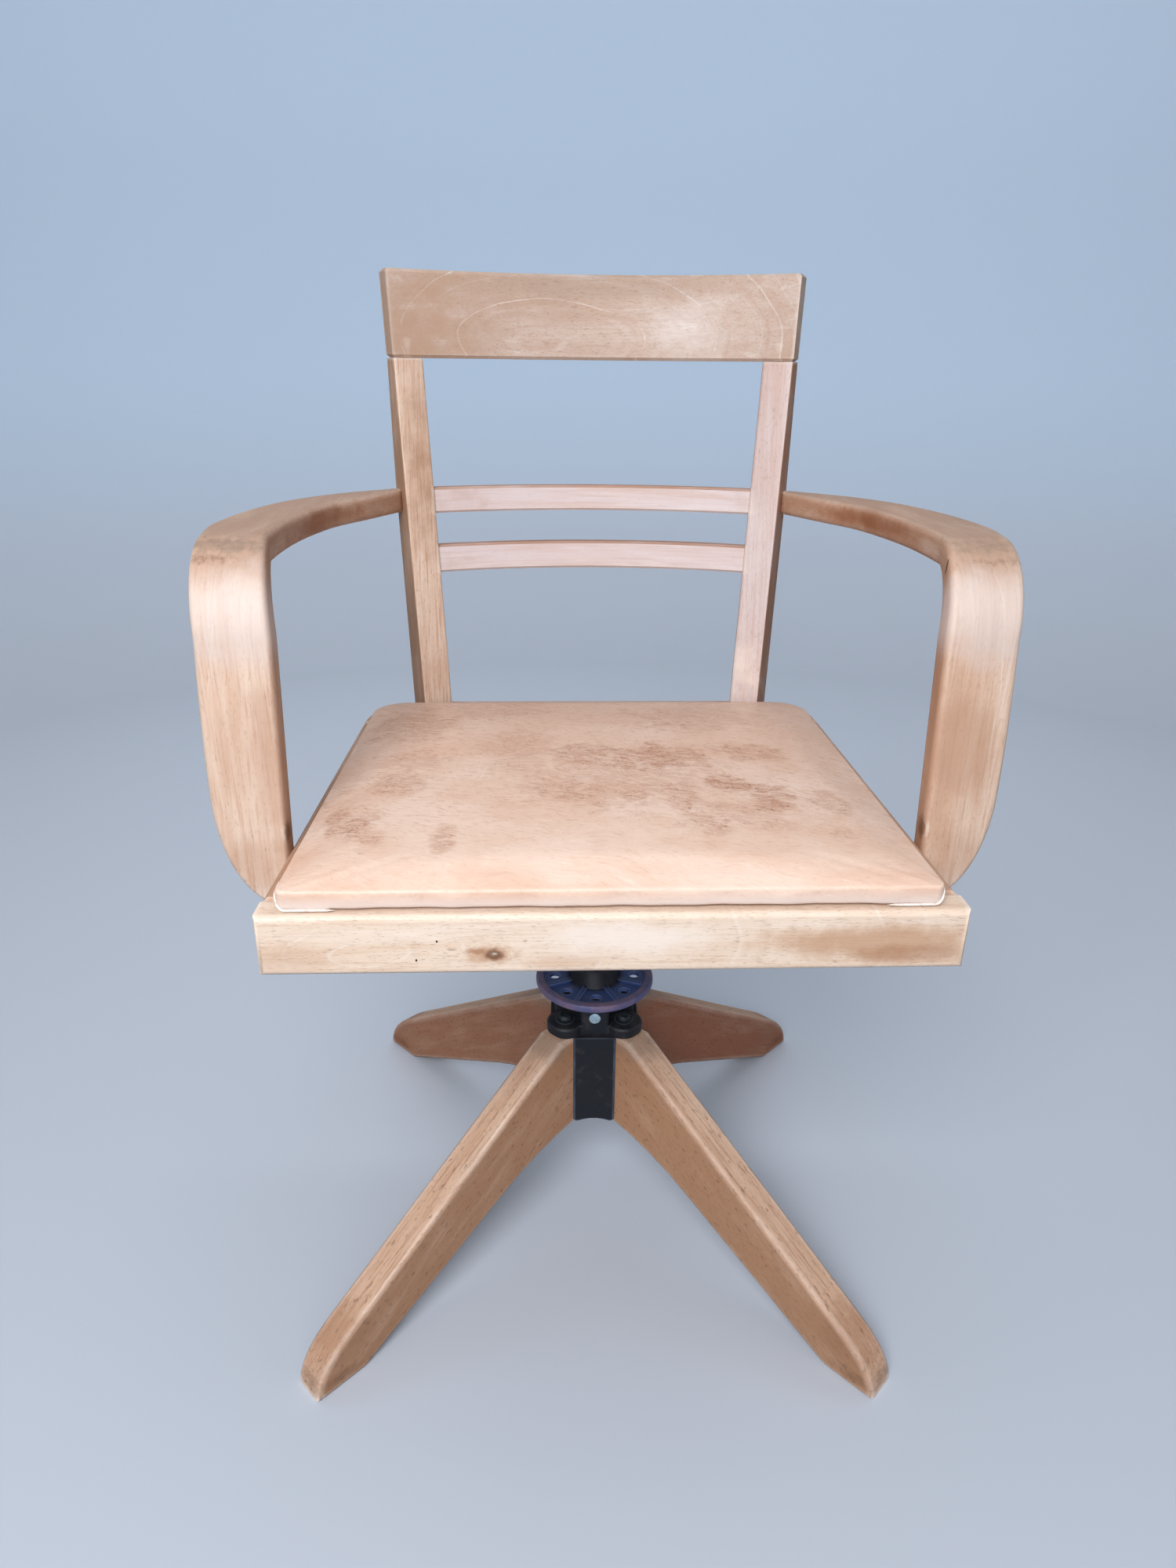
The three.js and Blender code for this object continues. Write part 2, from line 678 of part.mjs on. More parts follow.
function springRings() {
  const curve = new SpringCurve();
  const steps = SPRING.turns * SPRING.stepsPerTurn;
  const middles = [];
  const first = curve.getPoint(0);
  middles.push({ place: first.clone().setZ(0), along: new THREE.Vector3(0, 0, 1) });
  for (let step = 0; step <= steps; step += 1) {
    const place = curve.getPoint(step / steps);
    const along = curve.getTangent(step / steps);
    if (step === 0 || step === steps) along.add(new THREE.Vector3(0, 0, 1)).normalize();
    middles.push({ place, along });
  }
  middles.push({ place: curve.getPoint(1).setZ(springLength), along: new THREE.Vector3(0, 0, 1) });
  const outward = (place) => new THREE.Vector3(place.x, place.y, 0).normalize();
  return {
    middles: middles.map(({ place }) => place),
    rings: middles.map(({ place, along }) => {
      const side = outward(place);
      const other = new THREE.Vector3().crossVectors(along, side).normalize();
      return Array.from({ length: SPRING.wireSides }, (_, corner) => {
        const angle = (2 * Math.PI * corner) / SPRING.wireSides;
        return place.clone()
          .addScaledVector(side, SPRING.wireRadius * Math.cos(angle))
          .addScaledVector(other, SPRING.wireRadius * Math.sin(angle));
      });
    }),
  };
}

const springWire = springRings();

// The least gap between two stretches of the wire that lie more than half a turn apart.
let springGap = Infinity;
springWire.middles.forEach((place, index) => {
  springWire.middles.slice(index + 1 + SPRING.stepsPerTurn / 2).forEach((other) => {
    springGap = Math.min(springGap, place.distanceTo(other) - 2 * SPRING.wireRadius);
  });
});
console.log(`least gap between the turns of a tilt spring: ${springGap.toFixed(2)} mm`);

for (const [name, x] of [['tilt_spring_left', springPlaces[0]], ['tilt_spring_right', springPlaces[1]]]) {
  add(name, loft(springWire.rings).translate(x, SPRING.rear, springBottom), STEEL());
}

// Seat iron: two cheeks outside the yoke, flanges under the battens and two ties

const cheekInner = YOKE.halfWidth + IRON.sideGap;
const cheekOuter = cheekInner + IRON.cheek;
const flangeOuter = cheekOuter + IRON.flangeWidth;
const noseRest = noseTop + GAP;
const screwRows = [
  BATTEN.front + IRON_SCREW.inset, BATTEN.front + BATTEN.width - IRON_SCREW.inset,
  BATTEN.rear + IRON_SCREW.inset, BATTEN.rear + BATTEN.width - IRON_SCREW.inset,
];
const screwSides = [-1, 1].map((side) => side * (cheekOuter + IRON.flangeWidth / 2));
const ironScrewPlaces = screwSides.flatMap((x) => screwRows.map((y) => [x, y]));

function seatIron() {
  const pivotBack = -YOKE.pivotFront;
  const endBottom = ironTop - IRON.endDepth;
  const reachShare = IRON.shoulderShare;
  const shape = new THREE.Shape();
  shape.moveTo(-IRON.frontReach, endBottom);
  shape.lineTo(THREE.MathUtils.lerp(pivotBack - YOKE.bossRadius, -IRON.frontReach, reachShare), tieBottom);
  shape.lineTo(pivotBack - YOKE.bossRadius, pivotHeight);
  shape.absarc(pivotBack, pivotHeight, YOKE.bossRadius, -Math.PI, 0, false);
  shape.lineTo(THREE.MathUtils.lerp(pivotBack + YOKE.bossRadius, IRON.rearReach, reachShare), tieBottom);
  shape.lineTo(IRON.rearReach, endBottom).lineTo(IRON.rearReach, ironTop).lineTo(-IRON.frontReach, ironTop);
  const cheeks = [1, -1].map((side) => standing(shape, IRON.cheek, QUARTER)
    .translate(side * (cheekInner + IRON.cheek / 2), 0, 0));
  const flange = slab(rectangle(
    cheekInner, -IRON.frontReach, flangeOuter, IRON.rearReach, IRON.cheek / 2), ironPlateBottom, ironTop);
  const rearTie = block([-cheekOuter, SPRING.rear - IRON.tieLength / 2, tieBottom],
    [cheekOuter, SPRING.rear + IRON.tieLength / 2, ironPlateBottom + OVERRUN]);
  const noseBack = YOKE.noseThickness - YOKE.frontReach;
  const frontTie = block([-cheekOuter, -YOKE.frontReach - IRON.tieThickness, noseRest],
    [cheekOuter, noseBack + IRON.tieThickness, noseRest + IRON.tieThickness]);
  const spigot = rod(SPRING.spigotRadius, tieBottom - SPRING.spigotHeight, ironPlateBottom, 16);
  const spigots = springPlaces.map((x) => spigot.clone().translate(x, SPRING.rear, 0));
  const body = join(...cheeks, flange, mirrored(flange), rearTie, frontTie, ...spigots);
  const pivotHole = crossRod(PIVOT.radius + GAP, -cheekOuter - OVERRUN, cheekOuter + OVERRUN)
    .translate(0, pivotBack, pivotHeight);
  const screwHoles = ironScrewPlaces.map(([x, y]) => rod(
    IRON_SCREW.shankRadius + GAP, ironPlateBottom - OVERRUN, ironTop + OVERRUN, 8).translate(x, y, 0));
  return cut(body, pivotHole, ...screwHoles);
}

add('seat_iron', seatIron(), IRON_BLACK());

const pinHalf = cheekOuter + GAP;
add('pivot_pin', turned([
  [0, -pinHalf - PIVOT.headHeight], [PIVOT.headRadius, -pinHalf - PIVOT.headHeight],
  [PIVOT.headRadius, -pinHalf], [PIVOT.radius, -pinHalf], [PIVOT.radius, pinHalf + PIVOT.headHeight],
  [PIVOT.radius - PIVOT.tip, pinHalf + 2 * PIVOT.headHeight], [0, pinHalf + 2 * PIVOT.headHeight],
]).rotateY(QUARTER).translate(0, -YOKE.pivotFront, pivotHeight), STEEL());

ironScrewPlaces.forEach(([x, y], index) => {
  const side = x < 0 ? 'left' : 'right';
  const length = IRON.plateThickness + 2 * GAP + IRON_SCREW.depth;
  add(`iron_screw_${side}_${(index % screwRows.length) + 1}`, fastener(
    IRON_SCREW.headRadius, IRON_SCREW.headHeight, IRON_SCREW.shankRadius, length, 8)
    .rotateX(2 * QUARTER).translate(x, y, ironPlateBottom - GAP), STEEL());
});

// Seat frame

const railBack = SEAT.railThickness - SEAT.front; // rear face of the front rail
const backRailFront = SEAT.backRailFront;
const backRailBack = backRailFront + SEAT.backRailDepth;
const innerSide = (back) => railSide(back) - SEAT.railThickness;

function batten(front) {
  const back = front + BATTEN.width;
  const shape = new THREE.Shape();
  shape.moveTo(-innerSide(front) + GAP, front).lineTo(innerSide(front) - GAP, front);
  shape.lineTo(innerSide(back) - GAP, back).lineTo(-innerSide(back) + GAP, back);
  const pilotTop = battenBottom + IRON_SCREW.depth + 2 * GAP;
  const pilot = rod(IRON_SCREW.shankRadius + GAP, battenBottom - OVERRUN, pilotTop, 8);
  const pilots = ironScrewPlaces.map(([x, y]) => pilot.clone().translate(x, y, 0));
  return cut(slab(shape, battenBottom, battenBottom + BATTEN.height), ...pilots);
}

add('batten_front', batten(BATTEN.front), BEECH());
add('batten_back', batten(BATTEN.rear), BEECH());

const frontRailShape = rectangle(-SEAT.halfWidth, railBottom, SEAT.halfWidth, seatTop);
add('front_rail', standing(frontRailShape, SEAT.railThickness, 0, SEAT.edge, 3)
  .translate(0, railBack - SEAT.railThickness / 2, 0), BEECH());

const armScrewPlaces = [-1, 1].map((step) => (railBottom + seatTop) / 2 + (step * ARM.screwSpread) / 2
  - ARM.edge);
const armMiddle = ARM.thickness / 2 - ARM.bladeFront;

function sideRail() {
  const [front, back] = [railBack + GAP, backRailFront - GAP];
  const shape = new THREE.Shape();
  shape.moveTo(innerSide(front), front).lineTo(railSide(front), front);
  shape.lineTo(railSide(back), back).lineTo(innerSide(back), back);
  const holes = armScrewPlaces.map((height) => crossRod(
    ARM_SCREW.shankRadius + GAP, innerSide(armMiddle) - OVERRUN, railSide(armMiddle) + OVERRUN, 8)
    .translate(0, armMiddle, height));
  return cut(slab(shape, railBottom, seatTop, SEAT.sideEdge), ...holes);
}

add('side_rail_right', sideRail(), BEECH());
add('side_rail_left', mirrored(sideRail()), BEECH());

// Stiles: tapered planks that follow the concave back and lean backwards

function stileFrame(height) {
  const beside = stileSide(height);
  const turn = Math.asin(beside / BACK.radius);
  const outer = new THREE.Vector3(beside, backAt(beside, height), height);
  const inward = new THREE.Vector3(-Math.cos(turn), Math.sin(turn), 0);
  const backward = new THREE.Vector3(Math.sin(turn), Math.cos(turn), 0);
  return { outer, inward, backward };
}

function stileDepth(height) {
  return height < armTop
    ? THREE.MathUtils.mapLinear(height, seatTop, armTop, STILE.depthFoot, STILE.depthArm)
    : THREE.MathUtils.mapLinear(height, armTop, crestBottom, STILE.depthArm, STILE.depthTop);
}

function stileRing(height, grow = 0) {
  const { outer, inward, backward } = stileFrame(height);
  const origin = outer.clone().addScaledVector(inward, -grow).addScaledVector(backward, -grow);
  return section(origin, backward.clone().multiplyScalar(stileDepth(height) + 2 * grow),
    inward.clone().multiplyScalar(STILE.width + 2 * grow), STILE.edge, 2);
}

const stileBottom = seatTop + GAP;
const stileTop = crestBottom - GAP;
const [lowerShares, upperShares] = [[0, 1 / 3, 2 / 3, 1], [1 / 2, 1]];
const stileHeights = [
  ...lowerShares.map((share) => THREE.MathUtils.lerp(stileBottom, armTop, share)),
  ...upperShares.map((share) => THREE.MathUtils.lerp(armTop, stileTop, share)),
];

// The tenon under a stile, or with a clearance the mortise for it.
function stileTenon(clearance) {
  const { outer, inward, backward } = stileFrame(stileBottom);
  const insetWidth = (STILE.width - STILE.tenonWidth) / 2 - clearance;
  const insetDepth = (STILE.depthFoot - STILE.tenonDepth) / 2 - clearance;
  const corner = outer.clone().addScaledVector(inward, insetWidth).addScaledVector(backward, insetDepth);
  const ring = (height) => section(corner.clone().setZ(height),
    backward.clone().multiplyScalar(STILE.tenonDepth + 2 * clearance),
    inward.clone().multiplyScalar(STILE.tenonWidth + 2 * clearance), STILE.edge / 2, 1);
  return loft([ring(seatTop - STILE.tenonLength - clearance), ring(stileBottom + STILE.edge)]);
}

// A bowed board that follows the back's curve between two heights, its front face set back.
function bowedBoard(bottom, top, half, setBack, thickness, edge, splayShare = 0) {
  const radius = BACK.radius - setBack;
  const [inner, outer] = [BACK.radius + setBack, BACK.radius + setBack + thickness];
  const turn = Math.asin(half / radius);
  const shape = new THREE.Shape();
  shape.absarc(0, 0, inner, QUARTER - turn, QUARTER + turn, false);
  shape.absarc(0, 0, outer, QUARTER + turn, QUARTER - turn, true);
  const board = new THREE.ExtrudeGeometry(shape, {
    depth: top - bottom - 2 * edge,
    bevelEnabled: edge > 0,
    bevelThickness: edge,
    bevelSize: edge,
    bevelOffset: -edge,
    bevelSegments: 1,
    curveSegments: 14,
  }).translate(0, 0, edge);
  const places = board.attributes.position;
  for (let index = 0; index < places.count; index += 1) {
    const height = places.getZ(index) + bottom;
    places.setX(index, places.getX(index) * (1 + (height - bottom) * splayShare / half));
    places.setY(index, places.getY(index) + backMid(height) - BACK.radius);
    places.setZ(index, height);
  }
  return board;
}

const splay = (stileSide(backTop) - stileSide(seatTop)) / (backTop - seatTop);
const slatHalf = (height) => {
  const { outer, inward } = stileFrame(height);
  return outer.x + inward.x * (STILE.width - SLAT.tenon);
};

function slat(bottom, height, clearance) {
  const half = slatHalf(bottom) + clearance;
  return bowedBoard(bottom - clearance, bottom + height + clearance, half,
    SLAT.setBack - clearance, SLAT.thickness + 2 * clearance, clearance > 0 ? 0 : SLAT.edge, splay);
}

const slatPlaces = [
  [alongBack(SLAT.upperShare), SLAT.upperHeight],
  [alongBack(SLAT.lowerShare), SLAT.lowerHeight],
];
add('slat_upper', slat(...slatPlaces[0], 0), BEECH());
add('slat_lower', slat(...slatPlaces[1], 0), BEECH());

// A dowel stands in the top of each stile and reaches up into the crest rail.
function crestDowel(clearance) {
  const { outer, inward, backward } = stileFrame(crestBottom);
  const place = outer.clone().addScaledVector(inward, STILE.width / 2)
    .addScaledVector(backward, BACK.crestThickness / 2);
  return rod(DOWEL.radius + clearance, crestBottom - DOWEL.length / 2 - clearance,
    crestBottom + DOWEL.length / 2 + clearance, 12).translate(place.x, place.y, 0);
}

// One dowel pins each arm to the outer side of its stile.
const armHeight = armTop - ARM.thickness / 2;

function armSeat() {
  const { outer, inward, backward } = stileFrame(armHeight);
  return { outer, inward, backward, depth: stileDepth(armHeight) };
}

function armDowel(clearance) {
  const { outer, inward, backward, depth } = armSeat();
  const middle = outer.clone().addScaledVector(backward, depth * ARM.dowelShare).setZ(armHeight);
  const turn = Math.atan2(inward.y, inward.x);
  return rod(DOWEL.radius + clearance, -DOWEL.length / 2 - clearance, DOWEL.length / 2 + clearance, 12)
    .rotateY(QUARTER).rotateZ(turn).translate(middle.x, middle.y, middle.z);
}

function stile() {
  const body = join(loft(stileHeights.map((height) => stileRing(height))), stileTenon(0));
  return cut(body, ...slatPlaces.map(([bottom, height]) => slat(bottom, height, GAP)),
    crestDowel(GAP), armDowel(GAP));
}

add('stile_right', stile(), BEECH());
add('stile_left', mirrored(stile()), BEECH());
add('crest_dowel_right', crestDowel(0), BEECH());
add('crest_dowel_left', mirrored(crestDowel(0)), BEECH());
add('arm_dowel_right', armDowel(0), BEECH());
add('arm_dowel_left', mirrored(armDowel(0)), BEECH());

function crestRail() {
  const half = stileSide(crestBottom);
  const board = bowedBoard(crestBottom, backTop, half, 0, BACK.crestThickness, BACK.crestEdge, splay);
  return cut(board, crestDowel(GAP), mirrored(crestDowel(GAP)));
}

add('crest_rail', crestRail(), BEECH());

function backRail() {
  const side = railSide(backRailFront);
  const corner = SEAT.backCorner;
  const shape = new THREE.Shape();
  shape.moveTo(-side, backRailFront).lineTo(side, backRailFront);
  shape.absarc(side - corner, backRailBack - corner, corner, 0, QUARTER, false);
  shape.absarc(corner - side, backRailBack - corner, corner, QUARTER, Math.PI, false);
  return cut(slab(shape, railBottom, seatTop, SEAT.sideEdge), stileTenon(GAP), mirrored(stileTenon(GAP)));
}

add('back_rail', backRail(), BEECH());

// Corner blocks glued in the four inner corners of the frame
function cornerBlock(edgeY, inwards) {
  const start = edgeY + inwards * GAP;
  const end = start + inwards * SEAT.blockLeg;
  const shape = new THREE.Shape();
  shape.moveTo(innerSide(start) - GAP, start);
  shape.lineTo(innerSide(end) - GAP, end);
  shape.lineTo(innerSide(start) - GAP - SEAT.blockLeg, start);
  return slab(shape, battenBottom, seatTop - SEAT.blockDrop);
}

for (const [end, edgeY, inwards] of [['front', railBack, 1], ['back', backRailFront, -1]]) {
  const right = cornerBlock(edgeY, inwards);
  add(`corner_block_${end}_right`, right, BEECH());
  add(`corner_block_${end}_left`, mirrored(right), BEECH());
}

// Arms: a bent board that leaves the stile, widens, turns down in front and laps the side rail

const bendStart = ARM.bendRadius + ARM.thickness - ARM.bladeFront;
const bladeInner = railSide(armMiddle) - ARM.lean;

// One long edge of the arm in plan, from its place on the stile to the bend.
function armEdge(shares, seatShare) {
  const { outer, inward, backward, depth } = armSeat();
  const start = outer.clone().addScaledVector(inward, -GAP).addScaledVector(backward, depth * seatShare);
  const places = shares.map(({ out, forward }) => new THREE.Vector3(
    outer.x + out * ARM.sweep, THREE.MathUtils.lerp(outer.y, bendStart, forward), 0));
  return new THREE.CatmullRomCurve3([start.setZ(0), ...places]);
}

function armRings() {
  const innerEdge = armEdge(ARM_INNER_SHARES, ARM.endFrontShare);
  const outerEdge = armEdge(ARM_OUTER_SHARES, 1);
  const rings = [];
  const flatSteps = 12;
  const up = new THREE.Vector3(0, 0, ARM.thickness);
  for (let step = 0; step <= flatSteps; step += 1) {
    const [inner, outer] = [innerEdge.getPoint(step / flatSteps), outerEdge.getPoint(step / flatSteps)];
    rings.push(section(inner.clone().setZ(armTop - ARM.thickness), outer.clone().sub(inner), up, ARM.edge));
  }
  const [innerLast, outerLast] = [innerEdge.getPoint(1).x, outerEdge.getPoint(1).x];
  const bendSteps = 9;
  const bladeTop = armTop - ARM.thickness - ARM.bendRadius;
  for (let step = 1; step <= bendSteps; step += 1) {
    const share = step / bendSteps;
    const settled = 1 - (1 - share) ** ARM.settleShare;
    const turn = new THREE.Vector3(0, -Math.sin(share * QUARTER), Math.cos(share * QUARTER));
    const inner = THREE.MathUtils.lerp(innerLast, bladeInner, settled);
    const outer = THREE.MathUtils.lerp(outerLast, bladeInner + ARM.bladeWidth, settled);
    const low = new THREE.Vector3(inner, bendStart, bladeTop).addScaledVector(turn, ARM.bendRadius);
    const width = new THREE.Vector3(outer - inner, 0, 0);
    rings.push(section(low, width, turn.multiplyScalar(ARM.thickness), ARM.edge));
  }
  const footTop = armFoot + ARM.footRise;
  const leanShare = (height) => THREE.MathUtils.clamp((height - seatTop) / (bladeTop - seatTop), 0, 1);
  const railFace = (height) => railSide(armMiddle) + GAP - (ARM.lean + GAP) * leanShare(height);
  const blade = (height) => {
    const inner = railFace(height);
    const sag = THREE.MathUtils.clamp((footTop - height) / ARM.footRise, 0, 1);
    const down = THREE.MathUtils.clamp((bladeTop - height) / (bladeTop - footTop), 0, 1);
    const full = bladeInner + ARM.bladeWidth + ARM.bladeWiden * Math.sin(down * QUARTER) - inner;
    const wide = ARM.footTip + (full - ARM.footTip) * Math.sqrt(1 - sag ** 2);
    const corner = new THREE.Vector3(inner, ARM.thickness - ARM.bladeFront, height);
    return section(corner, new THREE.Vector3(wide, 0, 0), new THREE.Vector3(0, -ARM.thickness, 0),
      ARM.edge * Math.min(1, wide / ARM.footTip / 2));
  };
  const straightShares = [0.3, 0.65, 1];
  straightShares.forEach((share) => rings.push(blade(THREE.MathUtils.lerp(bladeTop, footTop, share))));
  const footShares = [0.2, 0.4, 0.58, 0.72, 0.84, 0.92, 0.97, 1];
  footShares.forEach((share) => rings.push(blade(footTop - ARM.footRise * share)));
  return rings;
}

function arm() {
  const face = railSide(armMiddle);
  const pilot = crossRod(ARM_SCREW.shankRadius + GAP, face - OVERRUN, face + ARM_SCREW.bite + 2 * GAP, 8);
  const pilots = armScrewPlaces.map((height) => pilot.clone().translate(0, armMiddle, height));
  return cut(loft(armRings()), ...pilots, armDowel(GAP));
}

add('arm_right', arm(), BEECH());
add('arm_left', mirrored(arm()), BEECH());

armScrewPlaces.forEach((height, index) => {
  const screw = fastener(ARM_SCREW.headRadius, ARM_SCREW.headHeight, ARM_SCREW.shankRadius,
    SEAT.railThickness + 2 * GAP + ARM_SCREW.bite, 8).rotateY(-QUARTER)
    .translate(innerSide(armMiddle) - GAP - SEAT.taperShare * ARM_SCREW.headRadius, armMiddle, height);
  const place = index === 0 ? 'lower' : 'upper';
  add(`arm_screw_right_${place}`, screw, STEEL());
  add(`arm_screw_left_${place}`, mirrored(screw), STEEL());
});

// Seat board and cushion

const cushionFront = CUSHION.frontLip - SEAT.front;

// The cushion's outline at an inset from its edge, anticlockwise from the front right corner.
function cushionRing(inset, height, drawIn, cornerSteps, sideSteps) {
  const [front, back] = [cushionFront + inset, CUSHION.back - inset];
  const corner = (y, margin, round) => (
    { x: railSide(y) - margin - inset, y, round: Math.max(round - inset, CUSHION.edge) });
  const low = corner(front, CUSHION.frontMargin, CUSHION.frontCorner);
  const high = corner(back, CUSHION.backMargin, CUSHION.backCorner);
  const points = [];
  const push = (x, y) => points.push(new THREE.Vector3(x, y, height(x, y)));
  for (let step = 0; step <= cornerSteps; step += 1) {
    const angle = -QUARTER + (QUARTER * step) / cornerSteps;
    const [out, along] = [Math.cos(angle) - 1, Math.sin(angle) + 1];
    push(low.x + low.round * out, low.y + low.round * along);
  }
  for (let step = 1; step < sideSteps; step += 1) {
    const share = step / sideSteps;
    const x = THREE.MathUtils.lerp(low.x, high.x, share) - drawIn * Math.sin(Math.PI * share);
    push(x, THREE.MathUtils.lerp(low.y + low.round, high.y - high.round, share));
  }
  for (let step = 0; step <= cornerSteps; step += 1) {
    const angle = (QUARTER * step) / cornerSteps;
    const [out, along] = [Math.cos(angle) - 1, Math.sin(angle) - 1];
    push(high.x + high.round * out, high.y + high.round * along);
  }
  const half = points.length;
  for (let step = 1; step < sideSteps; step += 1) {
    const share = step / sideSteps;
    const x = THREE.MathUtils.lerp(high.x - high.round, high.round - high.x, share);
    push(x, high.y - drawIn * Math.sin(Math.PI * share));
  }
  for (let index = half - 1; index >= 0; index -= 1) push(-points[index].x, points[index].y);
  for (let step = 1; step < sideSteps; step += 1) {
    const share = step / sideSteps;
    const x = THREE.MathUtils.lerp(low.round - low.x, low.x - low.round, share);
    push(x, low.y + drawIn * Math.sin(Math.PI * share));
  }
  return points;
}

const flat = (height) => () => height;
const boardRing = (height) => cushionRing(BOARD.inset, flat(height), 0, 4, 2);
add('seat_board', loft([boardRing(seatTop + GAP), boardRing(boardTop)]), BEECH());

function cushion() {
  const [cornerSteps, sideSteps] = [4, 10];
  const ring = (inset, height, drawIn) => cushionRing(inset, height, drawIn, cornerSteps, sideSteps);
  const halfWide = railSide(cushionFront) - CUSHION.frontMargin;
  const edgeTop = cushionBottom + CUSHION.wallHeight;
  const halfDepth = (CUSHION.back - cushionFront) / 2;
  const middle = CUSHION.back - halfDepth;
  const rise = (share, flatShare) => Math.max(0, 1 - share ** 2) ** flatShare;
  const crown = (x, y) => edgeTop + CUSHION.crown
    * rise(x / halfWide, CUSHION.acrossShare) * rise((y - middle) / halfDepth, CUSHION.alongShare);
  const round = CUSHION.edge;
  const rings = [
    ring(round, flat(cushionBottom), CUSHION.drawIn),
    ring(round / 3, flat(cushionBottom + round / 3), CUSHION.drawIn),
    ring(0, flat(cushionBottom + round), CUSHION.drawIn),
    ring(0, flat(edgeTop - round), CUSHION.drawIn),
    ring(round / 3, flat(edgeTop - round / 3), CUSHION.drawIn),
  ];
  const insetShares = [0.03, 0.1, 0.22, 0.42, 0.68, 0.93];
  insetShares.forEach((share) => {
    rings.push(ring(round + share * (halfDepth - round), crown, CUSHION.drawIn * (1 - share)));
  });
  return loft(rings);
}

add('cushion', cushion(), LEATHER());

// The origin goes to the middle of the footprint, at floor level.

const bounds = new THREE.Box3().setFromObject(model);
const middle = bounds.getCenter(new THREE.Vector3());
model.position.set(-middle.x, -middle.y, -bounds.min.z);
console.log(`swivel axis behind the origin: ${(-middle.y).toFixed(3)} mm`);
const chair = new THREE.Group();
chair.add(model);

export default chair;
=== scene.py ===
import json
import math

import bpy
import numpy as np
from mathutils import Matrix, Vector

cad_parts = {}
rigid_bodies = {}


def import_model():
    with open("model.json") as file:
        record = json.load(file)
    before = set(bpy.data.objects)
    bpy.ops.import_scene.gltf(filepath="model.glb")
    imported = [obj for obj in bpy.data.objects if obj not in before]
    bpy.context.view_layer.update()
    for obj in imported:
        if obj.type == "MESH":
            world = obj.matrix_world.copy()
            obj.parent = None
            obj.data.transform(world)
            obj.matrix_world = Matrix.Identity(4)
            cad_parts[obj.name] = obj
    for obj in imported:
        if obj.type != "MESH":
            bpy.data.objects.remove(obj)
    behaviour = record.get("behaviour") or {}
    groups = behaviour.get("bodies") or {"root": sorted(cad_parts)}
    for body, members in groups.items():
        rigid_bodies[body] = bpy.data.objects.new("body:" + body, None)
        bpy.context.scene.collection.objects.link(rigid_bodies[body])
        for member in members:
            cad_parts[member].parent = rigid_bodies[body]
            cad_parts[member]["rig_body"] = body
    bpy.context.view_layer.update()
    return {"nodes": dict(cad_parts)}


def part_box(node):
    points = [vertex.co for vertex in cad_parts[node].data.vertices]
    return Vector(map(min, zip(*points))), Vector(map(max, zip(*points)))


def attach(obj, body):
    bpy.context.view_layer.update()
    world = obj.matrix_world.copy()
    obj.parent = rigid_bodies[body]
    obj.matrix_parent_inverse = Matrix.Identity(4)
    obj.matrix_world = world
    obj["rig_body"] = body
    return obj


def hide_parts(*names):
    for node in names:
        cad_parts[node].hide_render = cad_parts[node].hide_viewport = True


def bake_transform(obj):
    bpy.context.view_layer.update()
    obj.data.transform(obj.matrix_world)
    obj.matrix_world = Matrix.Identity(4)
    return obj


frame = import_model()

# %% [markdown]
# # A swivel armchair for an office, dressed in Blender
#
# The chair is a plain beech armchair on a four-legged base: a hooped back with two thin slats,
# two bent arms, a loose leather seat pad, and below it a cast iron swivel and tilt mechanism.
# The packed model, read above, already has the right solids, one for each part a joiner or a founder
# would make. This file gives them their surfaces, and swaps some for fuller ones:
#
# * the seat pad, because leather over stuffing is soft and full of small accidents,
# * the bent arms, because a hand feels and an eye sees every flat facet on them,
# * the height screw, because it has a real thread,
# * the two tilt springs, because round wire wants more faces,
# * everything else by a joined copy of itself, so that light runs smoothly over its rounded edges.
#
# All lengths are metres. The origin is on the floor, +Z is up and the sitter faces -Y.

nodes = frame["nodes"]
AXIS = (0.0, 0.006979, 0.0)  # the foot of the upright that the seat turns round
SIDES = (("left", -1), ("right", 1))  # and the way that each lies along X
UP, FRONT = (0, 0, 1), (0, -1, 0)

# %% [markdown]
# ## The camera
#
# The picture was taken by a person standing in front of the chair and looking down at it. A camera is
# an empty point with a direction, a small roll and a focal length. The three were found by matching
# corners of the chair, so the render can be laid over the picture. The matrix is built from its three
# axes: right, up and backwards.

# %% Camera
CAMERA_PLACE = (-0.03955, -0.78063, 0.76759)
YAW, PITCH, ROLL = (math.radians(angle) for angle in (2.302, 22.603, -0.588))
SENSOR, LENS = 36.0, 30.256  # in millimetres, as a camera's are


def look(yaw, pitch, roll):
    """Axes of a camera: forwards from yaw and pitch, level right and down, then both turned by the roll."""
    forwards = np.array([math.sin(yaw) * math.cos(pitch), math.cos(yaw) * math.cos(pitch), -math.sin(pitch)])
    level = np.array([math.cos(yaw), -math.sin(yaw), 0.0])
    down = np.cross(forwards, level)
    right = math.cos(roll) * level + math.sin(roll) * down
    down = math.cos(roll) * down - math.sin(roll) * level
    return np.column_stack([right, -down, -forwards])


def placed(name, data):
    """A new object at the origin, in the scene."""
    made = bpy.data.objects.new(name, data)
    bpy.context.scene.collection.objects.link(made)
    return made


camera = placed("camera", bpy.data.cameras.new("camera"))
camera.data.sensor_fit = "HORIZONTAL"
camera.data.sensor_width = SENSOR
camera.data.lens = LENS
camera.matrix_world = Matrix.Translation(CAMERA_PLACE) @ Matrix(look(YAW, PITCH, ROLL).tolist()).to_4x4()
bpy.context.scene.camera = camera
print("camera", LENS, "mm, looking", round(math.degrees(PITCH), 1), "degrees down")

